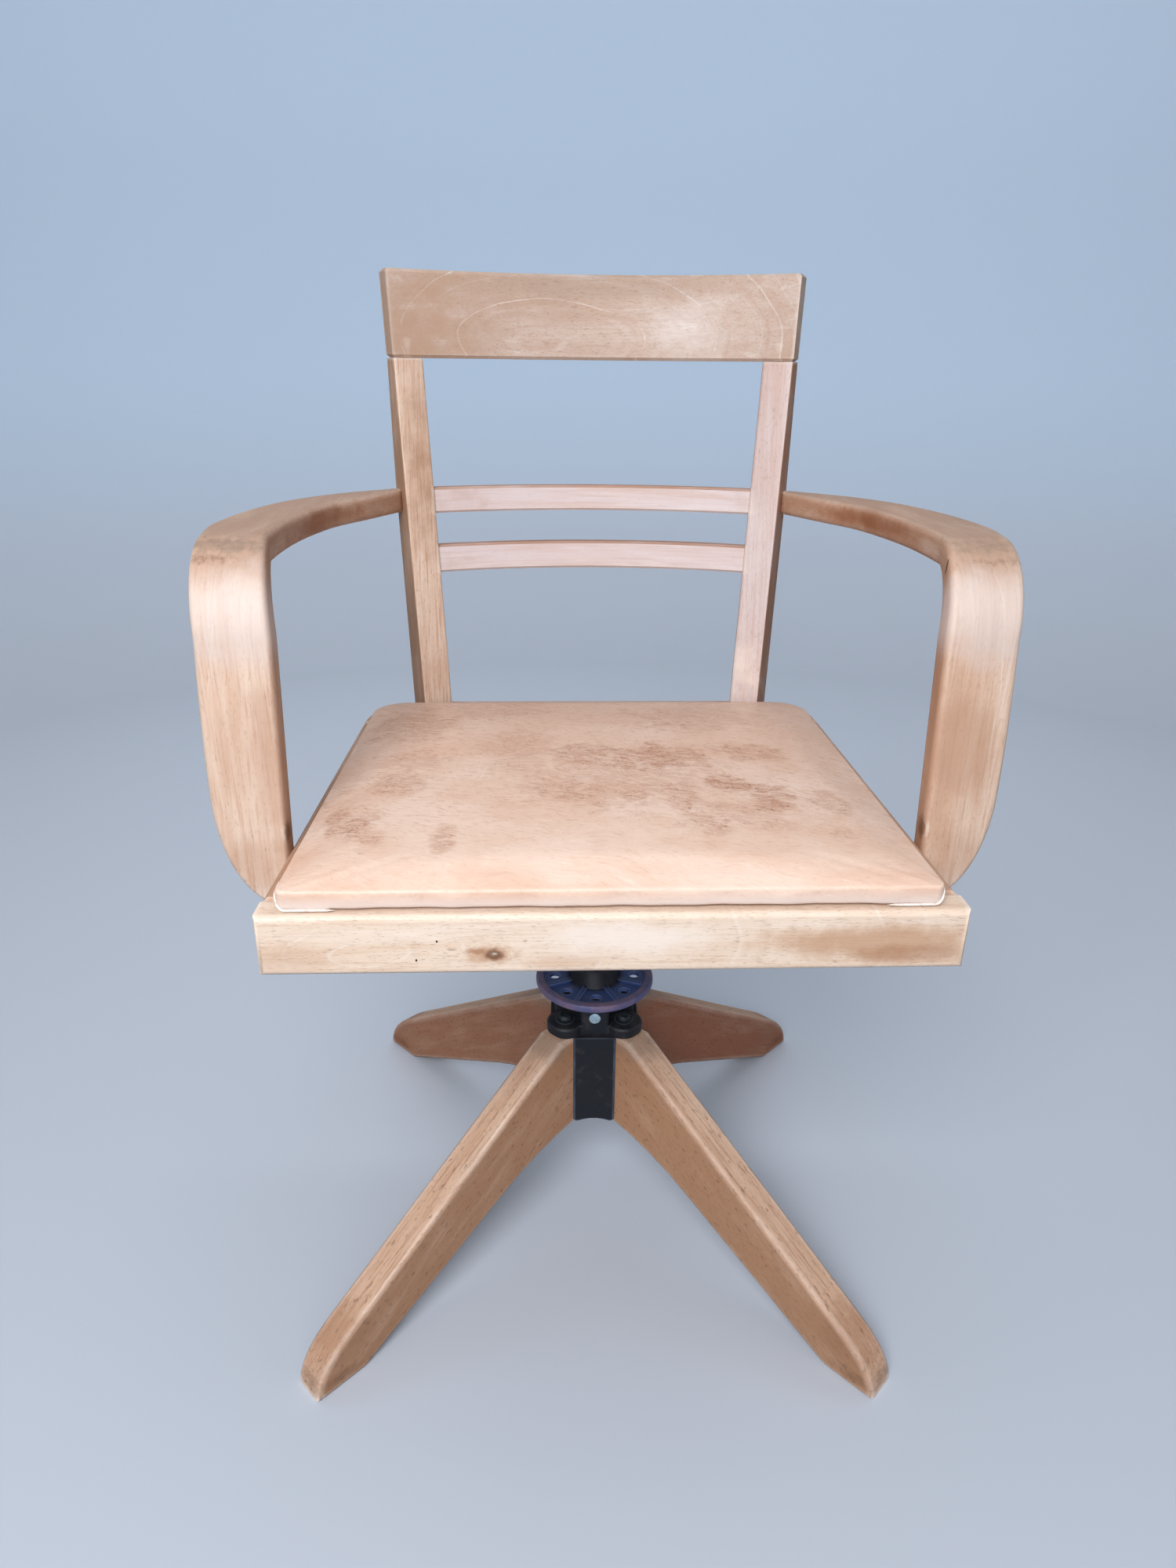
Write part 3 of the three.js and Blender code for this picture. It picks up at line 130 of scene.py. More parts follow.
# %% [markdown]
# ## A bench for laying shader nodes
#
# A material is a small machine of nodes and links. Laying them by hand takes many lines, so this bench
# keeps the few moves that are used again and again: arithmetic on one value or on a vector, a soft step
# from 0 to 1, a noise, and a mix of two colours. A value may be a socket, a number or a colour.

# %% Bench
class Bench:
    """Lays nodes in one tree and returns their output sockets."""

    def __init__(self, tree):
        self.tree = tree

    def node(self, kind, values=(), **settings):
        made = self.tree.nodes.new(kind)
        for name, value in settings.items():
            setattr(made, name, value)
        for name, value in dict(values).items():
            self.feed(made.inputs[name], value)
        return made

    def feed(self, socket, value):
        if isinstance(value, bpy.types.NodeSocket):
            self.tree.links.new(value, socket)
        else:
            socket.default_value = value

    def sum(self, operation, *values, clamp=False):
        return self.node("ShaderNodeMath", enumerate(values), operation=operation, use_clamp=clamp).outputs[0]

    def arrow(self, operation, *values):
        made = self.node("ShaderNodeVectorMath", enumerate(values), operation=operation)
        return made.outputs["Value" if operation in ("LENGTH", "DOT_PRODUCT") else "Vector"]

    def split(self, vector):
        return self.node("ShaderNodeSeparateXYZ", {0: vector}).outputs[:]

    def join(self, *values):
        """One vector of three values, or of one value three times."""
        values = values * 3 if len(values) == 1 else values
        return self.node("ShaderNodeCombineXYZ", enumerate(values)).outputs[0]

    def rise(self, value, low, high, start=0.0, end=1.0):
        """A soft step: start below low, end above high, an S-curve between."""
        values = {0: value, 1: low, 2: high, 3: start, 4: end}
        return self.node("ShaderNodeMapRange", values, interpolation_type="SMOOTHSTEP").outputs[0]

    def stretched(self, place, scale):
        """A place times a scale, which is one number or one for each axis."""
        return self.arrow("MULTIPLY", place, (scale,) * 3 if isinstance(scale, float) else scale)

    def noise(self, place, scale=None, detail=2.0, rough=0.5, output=0):
        """Noise at a place, stretched by a scale if there is one. Output 1 is its colour: three noises."""
        at = place if scale is None else self.stretched(place, scale)
        values = {"Vector": at, "Scale": 1.0, "Detail": detail, "Roughness": rough}
        return self.node("ShaderNodeTexNoise", values).outputs[output]

    def mix(self, share, first, second):
        made = self.node("ShaderNodeMix", data_type="RGBA")
        for index, value in ((0, share), (6, first), (7, second)):
            self.feed(made.inputs[index], value)
        return made.outputs[2]

    def coat(self, tint, mask, share, paint):
        """Lays a paint over a tint where a mask is, at a share of its strength."""
        return self.mix(self.sum("MULTIPLY", mask, share), tint, paint)

    def fill(self, group, values):
        made = self.node("ShaderNodeGroup", node_tree=group)
        for name, value in values.items():
            self.feed(made.inputs[name], value)
        return made.outputs


def new_group(name, inputs, outputs):
    """A shared effect: a node group with named sockets. Returns its tree, a bench, its inputs and its end."""
    tree = bpy.data.node_groups.new(name, "ShaderNodeTree")
    for label, kind, value in inputs:
        socket = tree.interface.new_socket(label, in_out="INPUT", socket_type="NodeSocket" + kind)
        if value is not None:
            socket.default_value = value
    for label in outputs:
        kind = "Vector" if label == "Board" else "Float"
        tree.interface.new_socket(label, in_out="OUTPUT", socket_type="NodeSocket" + kind)
    bench = Bench(tree)
    return tree, bench, bench.node("NodeGroupInput").outputs, bench.node("NodeGroupOutput").inputs


def told(tree):
    """Prints a finished group's size and hands the group on."""
    print("group", tree.name, "with", len(tree.nodes), "nodes")
    return tree


def colour(red, green, blue):
    return (red, green, blue, 1.0)


GREY_MIDDLE = (0.5, 0.5, 0.5)  # the mean of a coloured noise
print("a bench with", len([name for name in vars(Bench) if not name.startswith("_")]), "moves")

# %% [markdown]
# ## Shared effect: the figure of beech
#
# A board is sawn out of a trunk, so the lines on it are the year rings cut open. Think of the rings as
# thin shells, one inside the other, drawn out long in the direction of the grain: near the heart of the
# pattern a board shows closed loops, further off it shows long, nearly straight lines. The group measures
# the distance to the heart with the grain direction shortened, bends it with a slow noise, and marks a thin
# line where one year ends. No two years are alike, so a noise of the year's number sets how strong its line
# is, a noise along the board makes the line come and go, and a noise of the same distance makes soft darker
# bands between the years. Beech also has long soft streaks, fine fibres, short dark flecks, slow clouds of
# warmer wood, and the dents that years of use leave.
# "Board" is a place on the board in metres, with the grain along X and the heart at 0.

# %% Beech figure
def make_beech_figure():
    tree, bench, given, end = new_group("beech_figure", [
        ("Board", "Vector", None), ("Stretch", "Float", 6.0),
        ("Ring width", "Float", 0.006), ("Ripple", "Float", 0.012),
    ], ["Rings", "Band", "Streak", "Fibre", "Fleck", "Cloud", "Dent"])
    board = given["Board"]
    ripple = bench.join(given["Ripple"])
    slow = bench.noise(board, (7.0, 16.0, 16.0), 2.0, 0.45, output=1)
    bent = bench.arrow("SUBTRACT", slow, GREY_MIDDLE)
    along, across, depth = bench.split(bench.arrow("ADD", board, bench.arrow("MULTIPLY", bent, ripple)))
    shell = bench.arrow("LENGTH", bench.join(bench.sum("DIVIDE", along, given["Stretch"]), across, depth))
    years = bench.sum("DIVIDE", shell, given["Ring width"])
    number = bench.sum("ROUND", years)
    line = bench.rise(bench.sum("ABSOLUTE", bench.sum("SUBTRACT", years, number)), 0.0, 0.07, 1.0, 0.0)
    alike = bench.noise(bench.join(bench.sum("MULTIPLY", number, 1.7), 0.0, 0.0), detail=0.0)
    comes = bench.rise(bench.noise(board, (16.0, 55.0, 55.0), 2.0), 0.36, 0.60)
    kept = bench.sum("MULTIPLY", bench.rise(alike, 0.4, 0.65), comes)
    bench.feed(end["Rings"], bench.sum("MULTIPLY", line, kept))
    wave = bench.noise(bench.join(bench.sum("MULTIPLY", years, 1.1), 0.0, 5.0), None, 5.0, 0.72)
    bench.feed(end["Band"], bench.rise(wave, 0.42, 0.66))
    bench.feed(end["Streak"], bench.noise(board, (7.0, 95.0, 95.0), 4.0, 0.6))
    bench.feed(end["Fibre"], bench.noise(board, (22.0, 620.0, 620.0), 3.0, 0.6))
    speck = bench.noise(board, (210.0, 1900.0, 1900.0), 1.0)
    bench.feed(end["Fleck"], bench.rise(speck, 0.62, 0.74))
    bench.feed(end["Cloud"], bench.noise(board, (4.0, 15.0, 15.0), 4.0, 0.6))
    bench.feed(end["Dent"], bench.rise(bench.noise(board, (140.0, 380.0, 380.0), 2.0), 0.62, 0.70))
    return told(tree)


beech_figure = make_beech_figure()

# %% [markdown]
# ## Shared effect: worn and highlighted edges
#
# Hands, knees and floors polish the corners of a chair first, and rounded corners catch the light, so the pale
# corners laid with this mask are partly wear and partly a painted highlight. A corner is where there is little wood
# behind the surface, so the group looks inwards: it asks how soon short rays leave the piece again. Deep in a face
# they never do, on a corner half of them do. A noise breaks the line, because wear is never even.

# %% Worn and highlighted edges
def make_worn_edge():
    tree, bench, given, end = new_group("worn_edge", [
        ("Place", "Vector", None), ("Radius", "Float", 0.004), ("Patchy", "Float", 0.5),
    ], ["Mask"])
    inside = bench.node("ShaderNodeAmbientOcclusion", {"Distance": given["Radius"]},
                        samples=6, inside=True, only_local=True).outputs["AO"]
    corner = bench.rise(inside, 0.64, 0.82, 1.0, 0.0)
    patches = bench.rise(bench.noise(given["Place"], 35.0, 4.0, 0.65), 0.35, 0.62)
    kept = bench.sum("SUBTRACT", 1.0, bench.sum("MULTIPLY", patches, given["Patchy"]))
    bench.feed(end["Mask"], bench.sum("MULTIPLY", corner, kept, clamp=True))
    return told(tree)


worn_edge = make_worn_edge()

# %% [markdown]
# ## Shared effect: a spot
#
# Stains, knots, nail holes and rubbed places have a place and a size. The group measures how far a
# point lies from the centre, in units of the spot's own reach, and frays the border with noise.

# %% Spot
def make_spot():
    tree, bench, given, end = new_group("spot", [
        ("Place", "Vector", None), ("Centre", "Vector", None), ("Reach", "Vector", (0.01, 0.01, 0.01)),
        ("Fray", "Float", 0.4), ("Fray size", "Float", 0.01), ("Soft", "Float", 0.5),
    ], ["Mask"])
    away = bench.arrow("LENGTH", bench.arrow("DIVIDE", bench.arrow(
        "SUBTRACT", given["Place"], given["Centre"]), given["Reach"]))
    size = bench.join(given["Fray size"])
    ragged = bench.noise(bench.arrow("DIVIDE", given["Place"], size), None, 5.0, 0.62)
    inwards = bench.sum("SUBTRACT", 1.0, away)
    edge = bench.sum("MULTIPLY_ADD", bench.sum("SUBTRACT", ragged, 0.5), given["Fray"], inwards)
    bench.feed(end["Mask"], bench.rise(edge, 0.0, given["Soft"]))
    return told(tree)


spot = make_spot()

# %% [markdown]
# ## Shared effect: a bent board
#
# The arms are bent: the grain runs up the front blade, round the bend and back along the armrest. The
# figure needs a place on the board as it was before it was bent. On the blade that is the height, in the
# bend it is the angle times the radius, on the armrest the way back. The distance from the bend's centre
# is the depth in the board.

# %% Bent board
BEND_CENTRE = (0.0, AXIS[1] - 0.117, 0.610)
BEND_RADIUS = 0.048


def make_bent_board():
    tree, bench, given, end = new_group("bent_board", [("Place", "Vector", None)], ["Board"])
    side, back, up = bench.split(bench.arrow("SUBTRACT", given["Place"], BEND_CENTRE))
    front = bench.sum("MAXIMUM", bench.sum("MULTIPLY", back, -1.0), 0.0)
    over = bench.sum("MAXIMUM", up, 0.0)
    depth = bench.arrow("LENGTH", bench.join(front, over, 0.0))
    angle = bench.sum("ARCTAN2", over, bench.sum("ADD", front, 0.00001))
    straight = bench.sum("ADD", bench.sum("MINIMUM", up, 0.0), bench.sum("MAXIMUM", back, 0.0))
    along = bench.sum("MULTIPLY_ADD", angle, BEND_RADIUS, straight)
    bench.feed(end["Board"], bench.join(along, bench.sum("SUBTRACT", depth, BEND_RADIUS), side))
    return told(tree)


bent_board = make_bent_board()

# %% [markdown]
# The slats are bent too, but gently, round an upright axis in front of them. For a small angle an arc is
# nearly a parabola, so the depth in the board is the way back plus half the square of the way aside, over the
# radius.

# %% Bowed board
BACK_RADIUS = 0.388


def make_bowed_board():
    tree, bench, given, end = new_group("bowed_board", [("Place", "Vector", None)], ["Board"])
    side, back, up = bench.split(given["Place"])
    bow = bench.sum("MULTIPLY", bench.sum("MULTIPLY", side, side), 0.5 / BACK_RADIUS)
    bench.feed(end["Board"], bench.join(side, up, bench.sum("ADD", back, bow)))
    return told(tree)


bowed_board = make_bowed_board()

# %% [markdown]
# ## Beech as a material
#
# Every board gets its own material, because every board was sawn from another place: its grain runs
# along the board, and the heart of its figure lies where the maker's eye would see it. A Mapping node
# turns the object's coordinates so that X runs along the grain and 0 is the heart.
# The colour is laid in layers as a finish ages: pale or warm ground, streaks, year lines, fibres, flecks, what
# is left of an older varnish or of dirt on some faces, with painted shade on faces turned from the light, marks,
# and last the pale corners, worn and with a painted highlight.

# %% Tones of wood
def tones(**layers):
    """A table of named colours, each given as red, green and blue."""
    return {layer: colour(*shade) for layer, shade in layers.items()}


# The corner tone here is rubbed wood, and on the arms also a painted highlight; the face tone is old varnish, and on
# many boards also painted shade on faces turned from the light.
SEAT_TONE = tones(
    pale=(0.705, 0.550, 0.455), warm=(0.600, 0.395, 0.285), line=(0.440, 0.250, 0.165),
    varnish=(0.350, 0.165, 0.085), dirt=(0.250, 0.175, 0.130), gleam=(0.770, 0.655, 0.580),
    worn=(0.820, 0.710, 0.630), stain=(0.170, 0.075, 0.035), hole=(0.020, 0.012, 0.010))
# On the legs the corner tone is near white: rubbed wood and a painted highlight along the corners.
LEG_TONE = tones(
    pale=(0.700, 0.485, 0.365), warm=(0.570, 0.350, 0.235), line=(0.340, 0.165, 0.090),
    varnish=(0.440, 0.235, 0.135), dirt=(0.290, 0.205, 0.155), gleam=(0.700, 0.520, 0.400),
    worn=(0.930, 0.830, 0.760), stain=(0.120, 0.055, 0.030))
RAW_TONE = tones(
    pale=(0.520, 0.370, 0.260), warm=(0.440, 0.280, 0.180), line=(0.350, 0.200, 0.120),
    gleam=(0.560, 0.420, 0.310), worn=(0.580, 0.420, 0.300), stain=(0.150, 0.080, 0.040))
# These tones are pinker than the seat's, and the pale and gleam ones are bluer: the wood's own tone with a painted
# sheen of the bright sky.
PINK_SHEEN_TONE = SEAT_TONE | tones(
    pale=(0.645, 0.558, 0.570), warm=(0.590, 0.430, 0.380), line=(0.450, 0.290, 0.230),
    gleam=(0.715, 0.655, 0.640), varnish=(0.330, 0.150, 0.075))
print("tones of wood:", len(SEAT_TONE), "layers for the seat,", len(RAW_TONE), "for hidden boards")

# %% [markdown]
# A board's own axes follow from its grain. The Mapping node wants them as three angles, and moves the heart to 0.

# %% A place on a board
def grain_turn(along, face=(0.0, 0.0, 1.0)):
    """Rows are the board's own axes: along the grain, across it, and as near to face as a right angle lets."""
    first = Vector(along).normalized()
    second = Vector(face).cross(first).normalized()
    return Matrix((first, second, first.cross(second)))


def place_of(bench):
    return bench.node("ShaderNodeTexCoord").outputs["Object"]


def board_place(bench, place, along, heart, face):
    """Object coordinates seen from the heart, with X along the grain."""
    turn = grain_turn(along, face)
    values = {"Vector": place, "Location": -(turn @ Vector(heart)), "Rotation": turn.to_euler("XYZ")}
    return bench.node("ShaderNodeMapping", values).outputs[0]


print("a grain along Y turns by", [round(math.degrees(angle)) for angle in grain_turn((0, 1, 0)).to_euler("XYZ")])

# %% [markdown]
# Each material ends in the same way: pale corners over the colour, worn and on many pieces also a painted
# highlight, then colour, roughness and relief are fed to the Principled BSDF. A mark is a spot of one of the board's
# tones: a knot, a stain, or a place rubbed bare, which on the arms is also a painted highlight.

# %% The start and the end of a material
def plain_surface(name):
    """A new material with its bench and its Principled BSDF."""
    material = bpy.data.materials.new(name)
    material.use_nodes = True
    bench = Bench(material.node_tree)
    return material, bench, material.node_tree.nodes["Principled BSDF"]


def rub_and_highlight(bench, place, tint, radius, patchy, wear_and_highlight, bare):
    """Lays a paler tone on the corners: rubbed places, and on many pieces a painted highlight."""
    mask = bench.fill(worn_edge, {"Place": place, "Radius": radius, "Patchy": patchy})[0]
    return bench.coat(tint, mask, wear_and_highlight, bare)


def lay(bench, surface, tint, rough, height, strength, depth):
    """Feeds a surface its colour, its roughness and, through a bump, its relief."""
    bump = bench.node("ShaderNodeBump", {"Height": height, "Strength": strength, "Distance": depth}).outputs[0]
    for socket, value in (("Base Color", tint), ("Roughness", rough), ("Normal", bump)):
        bench.feed(surface.inputs[socket], value)


def mark(centre, reach, share, paint="stain", size=0.01, fray=1.1, soft=0.7):
    """A spot of one tone, as (the spot's values, share, tone). size is that of its ragged border, fray how ragged."""
    return {"Centre": centre, "Reach": reach, "Fray": fray, "Fray size": size, "Soft": soft}, share, paint


print("a mark is a spot, a share and a tone:", mark((0, 0, 0), (0.01, 0.01, 0.01), 0.5)[1:])

# %% [markdown]
# Now the material itself, one coat after another. The tone that lies on a face where the face looks in a given
# direction, in patches that follow the grain, is what is left of the varnish, and on many boards also painted shade
# on the faces turned from the light.

# %% Beech
def beech(name, tone, along=(1, 0, 0), heart=(0, 0, 0), face=(0, 0, 1), stretch=7.0, ring=0.006, ripple=0.012,
          lines=("line", 0.35), bands=0.2, clouds=(0.35, 0.65), flecks=0.4, dents=0.15, fibres=0.6, faces=(),
          marks=(), wear_and_highlight=0.6, board=None, radius=0.0045, rough=0.36):
    """One board's material. faces are (direction, tone, share) for what lies on the faces that look that way, and
    board is the group that straightens a bent board."""
    material, bench, surface = plain_surface(name)
    place = place_of(bench)
    if board is None:
        on_board = board_place(bench, place, along, heart, face)
    else:
        on_board = bench.arrow("SUBTRACT", bench.fill(board, {"Place": place})[0], heart)
    rings, band, streak, fibre, fleck, cloud, dent = bench.fill(beech_figure, {
        "Board": on_board, "Stretch": stretch, "Ring width": ring, "Ripple": ripple})[:7]
    tint = bench.mix(bench.rise(cloud, *clouds), tone["pale"], tone["warm"])
    tint = bench.mix(bench.rise(streak, 0.48, 0.70, 0.0, 0.7), tint, tone["warm"])
    tint = bench.mix(bench.rise(streak, 0.28, 0.46, 0.45, 0.0), tint, tone["gleam"])
    line_tone, line_share = lines
    tint = bench.coat(tint, band, bands, tone["line"])
    tint = bench.coat(tint, rings, line_share, tone[line_tone])
    tint = bench.mix(bench.rise(fibre, 0.47, 0.70, 0.0, fibres), tint, tone["line"])
    normal = bench.node("ShaderNodeNewGeometry").outputs["Normal"]
    patches = bench.noise(on_board, (14.0, 60.0, 60.0), 4.0, 0.6)
    # face tones: old varnish, and on many boards painted shade on faces turned from the light
    for direction, paint, share in faces:
        facing = bench.rise(bench.arrow("DOT_PRODUCT", normal, direction), 0.35, 0.85)
        tint = bench.coat(tint, facing, bench.rise(patches, 0.25, 0.6, 0.6 * share, share), tone[paint])
    tint = bench.coat(tint, fleck, flecks, tone["stain"])
    tint = bench.coat(tint, dent, dents, tone["stain"])
    for values, share, paint in marks:
        tint = bench.coat(tint, bench.fill(spot, values | {"Place": place})[0], share, tone[paint])
    # pale corners: wear, and on many pieces a painted highlight
    tint = rub_and_highlight(bench, place, tint, radius, 0.5, wear_and_highlight, tone["worn"])
    height = bench.sum("MULTIPLY_ADD", rings, -0.2, bench.sum("MULTIPLY", fibre, 0.5))
    height = bench.sum("MULTIPLY_ADD", bench.sum("ADD", fleck, dent), -0.4, height)
    surface.inputs["Specular IOR Level"].default_value = 0.35
    lay(bench, surface, tint, bench.sum("MULTIPLY_ADD", fibre, 0.22, rough), height, 0.3, 0.0005)
    return material


slots = {}


def dress(material, slot, *names):
    """Puts one material on CAD nodes, in place of the plain one that they came with, and notes their slot."""
    for name in names:
        nodes[name].data.materials.clear()
        nodes[name].data.materials.append(material)
        slots[name] = slot


print("boards to dress:", sum("rail" in name or "stile" in name or "slat" in name for name in nodes))

# %% [markdown]
# ## The back
#
# The crest rail was sawn so that its figure opens in wide ovals left of the middle, drawn in pale lines. The
# stiles lean back, so their grain leans with them, and their sides are darker: old varnish, and painted shade on the
# faces turned from the light. The slats are the palest boards of all, in a pale tone that is partly a painted sheen
# of the bright sky, as on the right stile.

# %% Boards of the back
RAKE = (0.0, 0.113, 1.0)  # the way up along a stile
CREST_HEART = (-0.0600, 0.2170, 0.7900)
crest_tone = PINK_SHEEN_TONE | tones(pale=(0.580, 0.470, 0.425), warm=(0.440, 0.310, 0.240), line=(0.430, 0.275, 0.195))
crest_marks = [mark((-0.185, 0.19, 0.79), (0.105, 0.06, 0.09), 0.9, "line", 0.03),
               mark((0.02, 0.21, 0.84), (0.16, 0.06, 0.02), 0.25, "dirt", 0.03),
               mark((0.09, 0.21, 0.80), (0.06, 0.05, 0.05), 0.4, "gleam", 0.02),
               mark((0.160, 0.20, 0.815), (0.02, 0.06, 0.03), 0.3, "line", 0.015)]
dress(beech("crest_beech", crest_tone, heart=CREST_HEART, face=FRONT, stretch=3.0, ring=0.0085, ripple=0.014,
            lines=("gleam", 0.55), bands=0.50, clouds=(0.25, 0.65), flecks=0.5, fibres=0.4, wear_and_highlight=0.4,
            marks=crest_marks), "seat_wood", "crest_rail")
# Each slat is darker brown on its top face.
for name, heart in (("slat_upper", (0.10, 0.70, 0.24)), ("slat_lower", (-0.15, 0.55, 0.24))):
    ends = [mark((-0.135, 0.2, heart[1] - 0.08), (0.050, 0.06, 0.25), 0.5, "line", 0.02),
            mark((0.140, 0.2, heart[1] - 0.08), (0.020, 0.06, 0.25), 0.3, "line", 0.01)]
    dress(beech(name + "_beech", PINK_SHEEN_TONE, heart=heart, stretch=9.0, ripple=0.016, lines=("line", 0.2), bands=0.12,
                clouds=(0.45, 0.8), flecks=0.15, fibres=0.25, wear_and_highlight=0.3, dents=0.0, board=bowed_board, marks=ends,
                faces=[(UP, "varnish", 0.9)]), "seat_wood", name)
stile_marks = {
    "left": [mark((-0.158, 0.19, 0.665), (0.03, 0.06, 0.13), 0.85, "varnish", 0.03),
             mark((-0.156, 0.17, 0.50), (0.03, 0.06, 0.05), 0.45, "line", 0.03),
             mark((-0.165, 0.20, 0.755), (0.03, 0.06, 0.03), 0.4, "gleam", 0.02)],
    "right": [mark((0.145, 0.17, 0.50), (0.03, 0.06, 0.05), 0.7, "worn", 0.02),
              mark((0.150, 0.19, 0.62), (0.03, 0.06, 0.06), 0.5, "gleam", 0.02)],
}
left_tone = SEAT_TONE | tones(varnish=(0.330, 0.185, 0.110))
# The sides of each stile are darker than its front: old varnish, and painted shade on the faces turned from the
# light.
for (side, out), tone, fibres in zip(SIDES, (left_tone, PINK_SHEEN_TONE), (0.75, 0.3)):
    dress(beech("stile_beech_" + side, tone, along=RAKE, heart=(0.07 * out, 0.10, 0.45 - 0.06 * out),
                face=FRONT, stretch=10.0, ring=0.0045, clouds=(0.3, 0.7), wear_and_highlight=0.55,
                fibres=fibres, marks=stile_marks[side], radius=0.0035,
                faces=[((out, 0, 0), "varnish", 0.95), ((-out, 0, 0), "varnish", 0.6)]),
          "seat_wood", "stile_" + side)
print("boards of the back:", 5)

# %% [markdown]
# ## The seat frame
#
# The front rail is the board that everyone looks at: it has a knot left of the middle, two old worm holes
# beside it, and broad pale arches of figure at its left end. The others lie half in the shade, and their top faces
# are painted darker: old varnish and painted shade.

# %% Boards of the seat frame
FACE = -0.2553  # the rail's front, where its marks lie
rail_tone = SEAT_TONE | tones(pale=(0.770, 0.635, 0.530), warm=(0.715, 0.550, 0.430),
                              gleam=(0.820, 0.730, 0.670), line=(0.500, 0.300, 0.190))
knot_marks = [mark((0.0, -0.2470, 0.4640), (0.50, 0.0060, 0.0060), 0.2, "line", 0.01),
              mark((0.010, FACE, 0.445), (0.070, 0.03, 0.016), 0.75, "gleam", 0.03),
              mark((0.165, FACE, 0.440), (0.090, 0.03, 0.018), 0.8, "line", 0.02),
              mark((0.185, FACE, 0.432), (0.050, 0.03, 0.009), 0.5, "varnish", 0.015),
              mark((-0.200, FACE, 0.432), (0.040, 0.03, 0.014), 0.35, "line", 0.02),
              mark((-0.035, FACE, 0.428), (0.030, 0.03, 0.008), 0.35, "line", 0.015),
              mark((-0.0776, FACE, 0.4350), (0.021, 0.02, 0.0090), 0.80, "line", 0.006),
              mark((-0.0856, FACE, 0.4373), (0.009, 0.02, 0.0030), 0.65, "varnish", 0.004),
              mark((-0.0756, FACE, 0.4345), (0.0085, 0.02, 0.0060), 0.95, "stain", 0.004),
              mark((-0.0756, FACE, 0.4351), (0.0042, 0.02, 0.0026), 0.8, "dirt", 0.002, 0.6),
              mark((-0.0751, FACE, 0.4353), (0.0022, 0.02, 0.0012), 0.45, "gleam", 0.002, 0.6),
              mark((-0.1015, FACE, 0.4385), (0.0036, 0.02, 0.0010), 0.5, "dirt", 0.002, 0.5),
              mark((-0.1235, FACE, 0.4312), (0.0008, 0.01, 0.0011), 1.0, "hole", 0.001, 0.3, 0.4),
              mark((-0.1103, FACE, 0.4445), (0.0008, 0.01, 0.0011), 1.0, "hole", 0.001, 0.3, 0.4)]
dress(beech("front_rail_beech", rail_tone, heart=(-0.150, -0.262, 0.437), face=FRONT, stretch=2.4, ring=0.012,
            ripple=0.026, lines=("gleam", 0.5), bands=0.12, clouds=(0.42, 0.85), flecks=0.45, fibres=0.3,
            marks=knot_marks, wear_and_highlight=0.9, faces=[(UP, "warm", 0.1)]), "seat_wood", "front_rail")
# Their top faces are darker: old varnish and painted shade.
for name, along, heart in (("side_rail_left", (0, 1, 0), (-0.25, 0.0, 0.40)),
                           ("side_rail_right", (0, 1, 0), (0.25, 0.05, 0.41)),
                           ("back_rail", (1, 0, 0), (0.05, 0.17, 0.39))):
    dress(beech(name + "_beech", SEAT_TONE, along=along, heart=heart, stretch=9.0,
                faces=[(UP, "varnish", 0.8)]), "seat_wood", name)
hidden_boards = (
    ("batten_beech", (1, 0, 0), (0.0, 0.05, 0.40), "seat_wood", ("batten_front", "batten_back")),
    ("block_beech", (0, 0, 1), (0.0, 0.0, 0.45), "seat_wood",
     [f"corner_block_{end}_{side}" for end in ("front", "back") for side in ("left", "right")]),
    ("board_beech", (1, 0, 0), (0.05, -0.05, 0.44), "seat_wood", ("seat_board",)),
    ("dowel_beech", (0, 0, 1), (0.2, 0.2, 0.7), "dowel_wood",
     [f"{kind}_dowel_{side}" for kind in ("crest", "arm") for side in ("left", "right")]),
)
for name, along, heart, slot, names in hidden_boards:
    dress(beech(name, RAW_TONE, along=along, heart=heart, stretch=6.0), slot, *names)
print("boards with a material:", len(slots))

# %% [markdown]
# ## The arms
#
# The figure of each arm is laid on the unbent board. The top is darker, greyed by hands and with painted shade,
# most of all where it starts to bend; the front of the bend has a pale rubbed place that is also a painted highlight,
# the blade is browner where legs brush it, and the inner faces are darker from their old varnish and from painted
# shade. The rounded edges are pale, rubbed and with a painted highlight. Close to the pad each arm lost a chip at its
# inner corner, and the right one has a short split on the inner side of its bend.

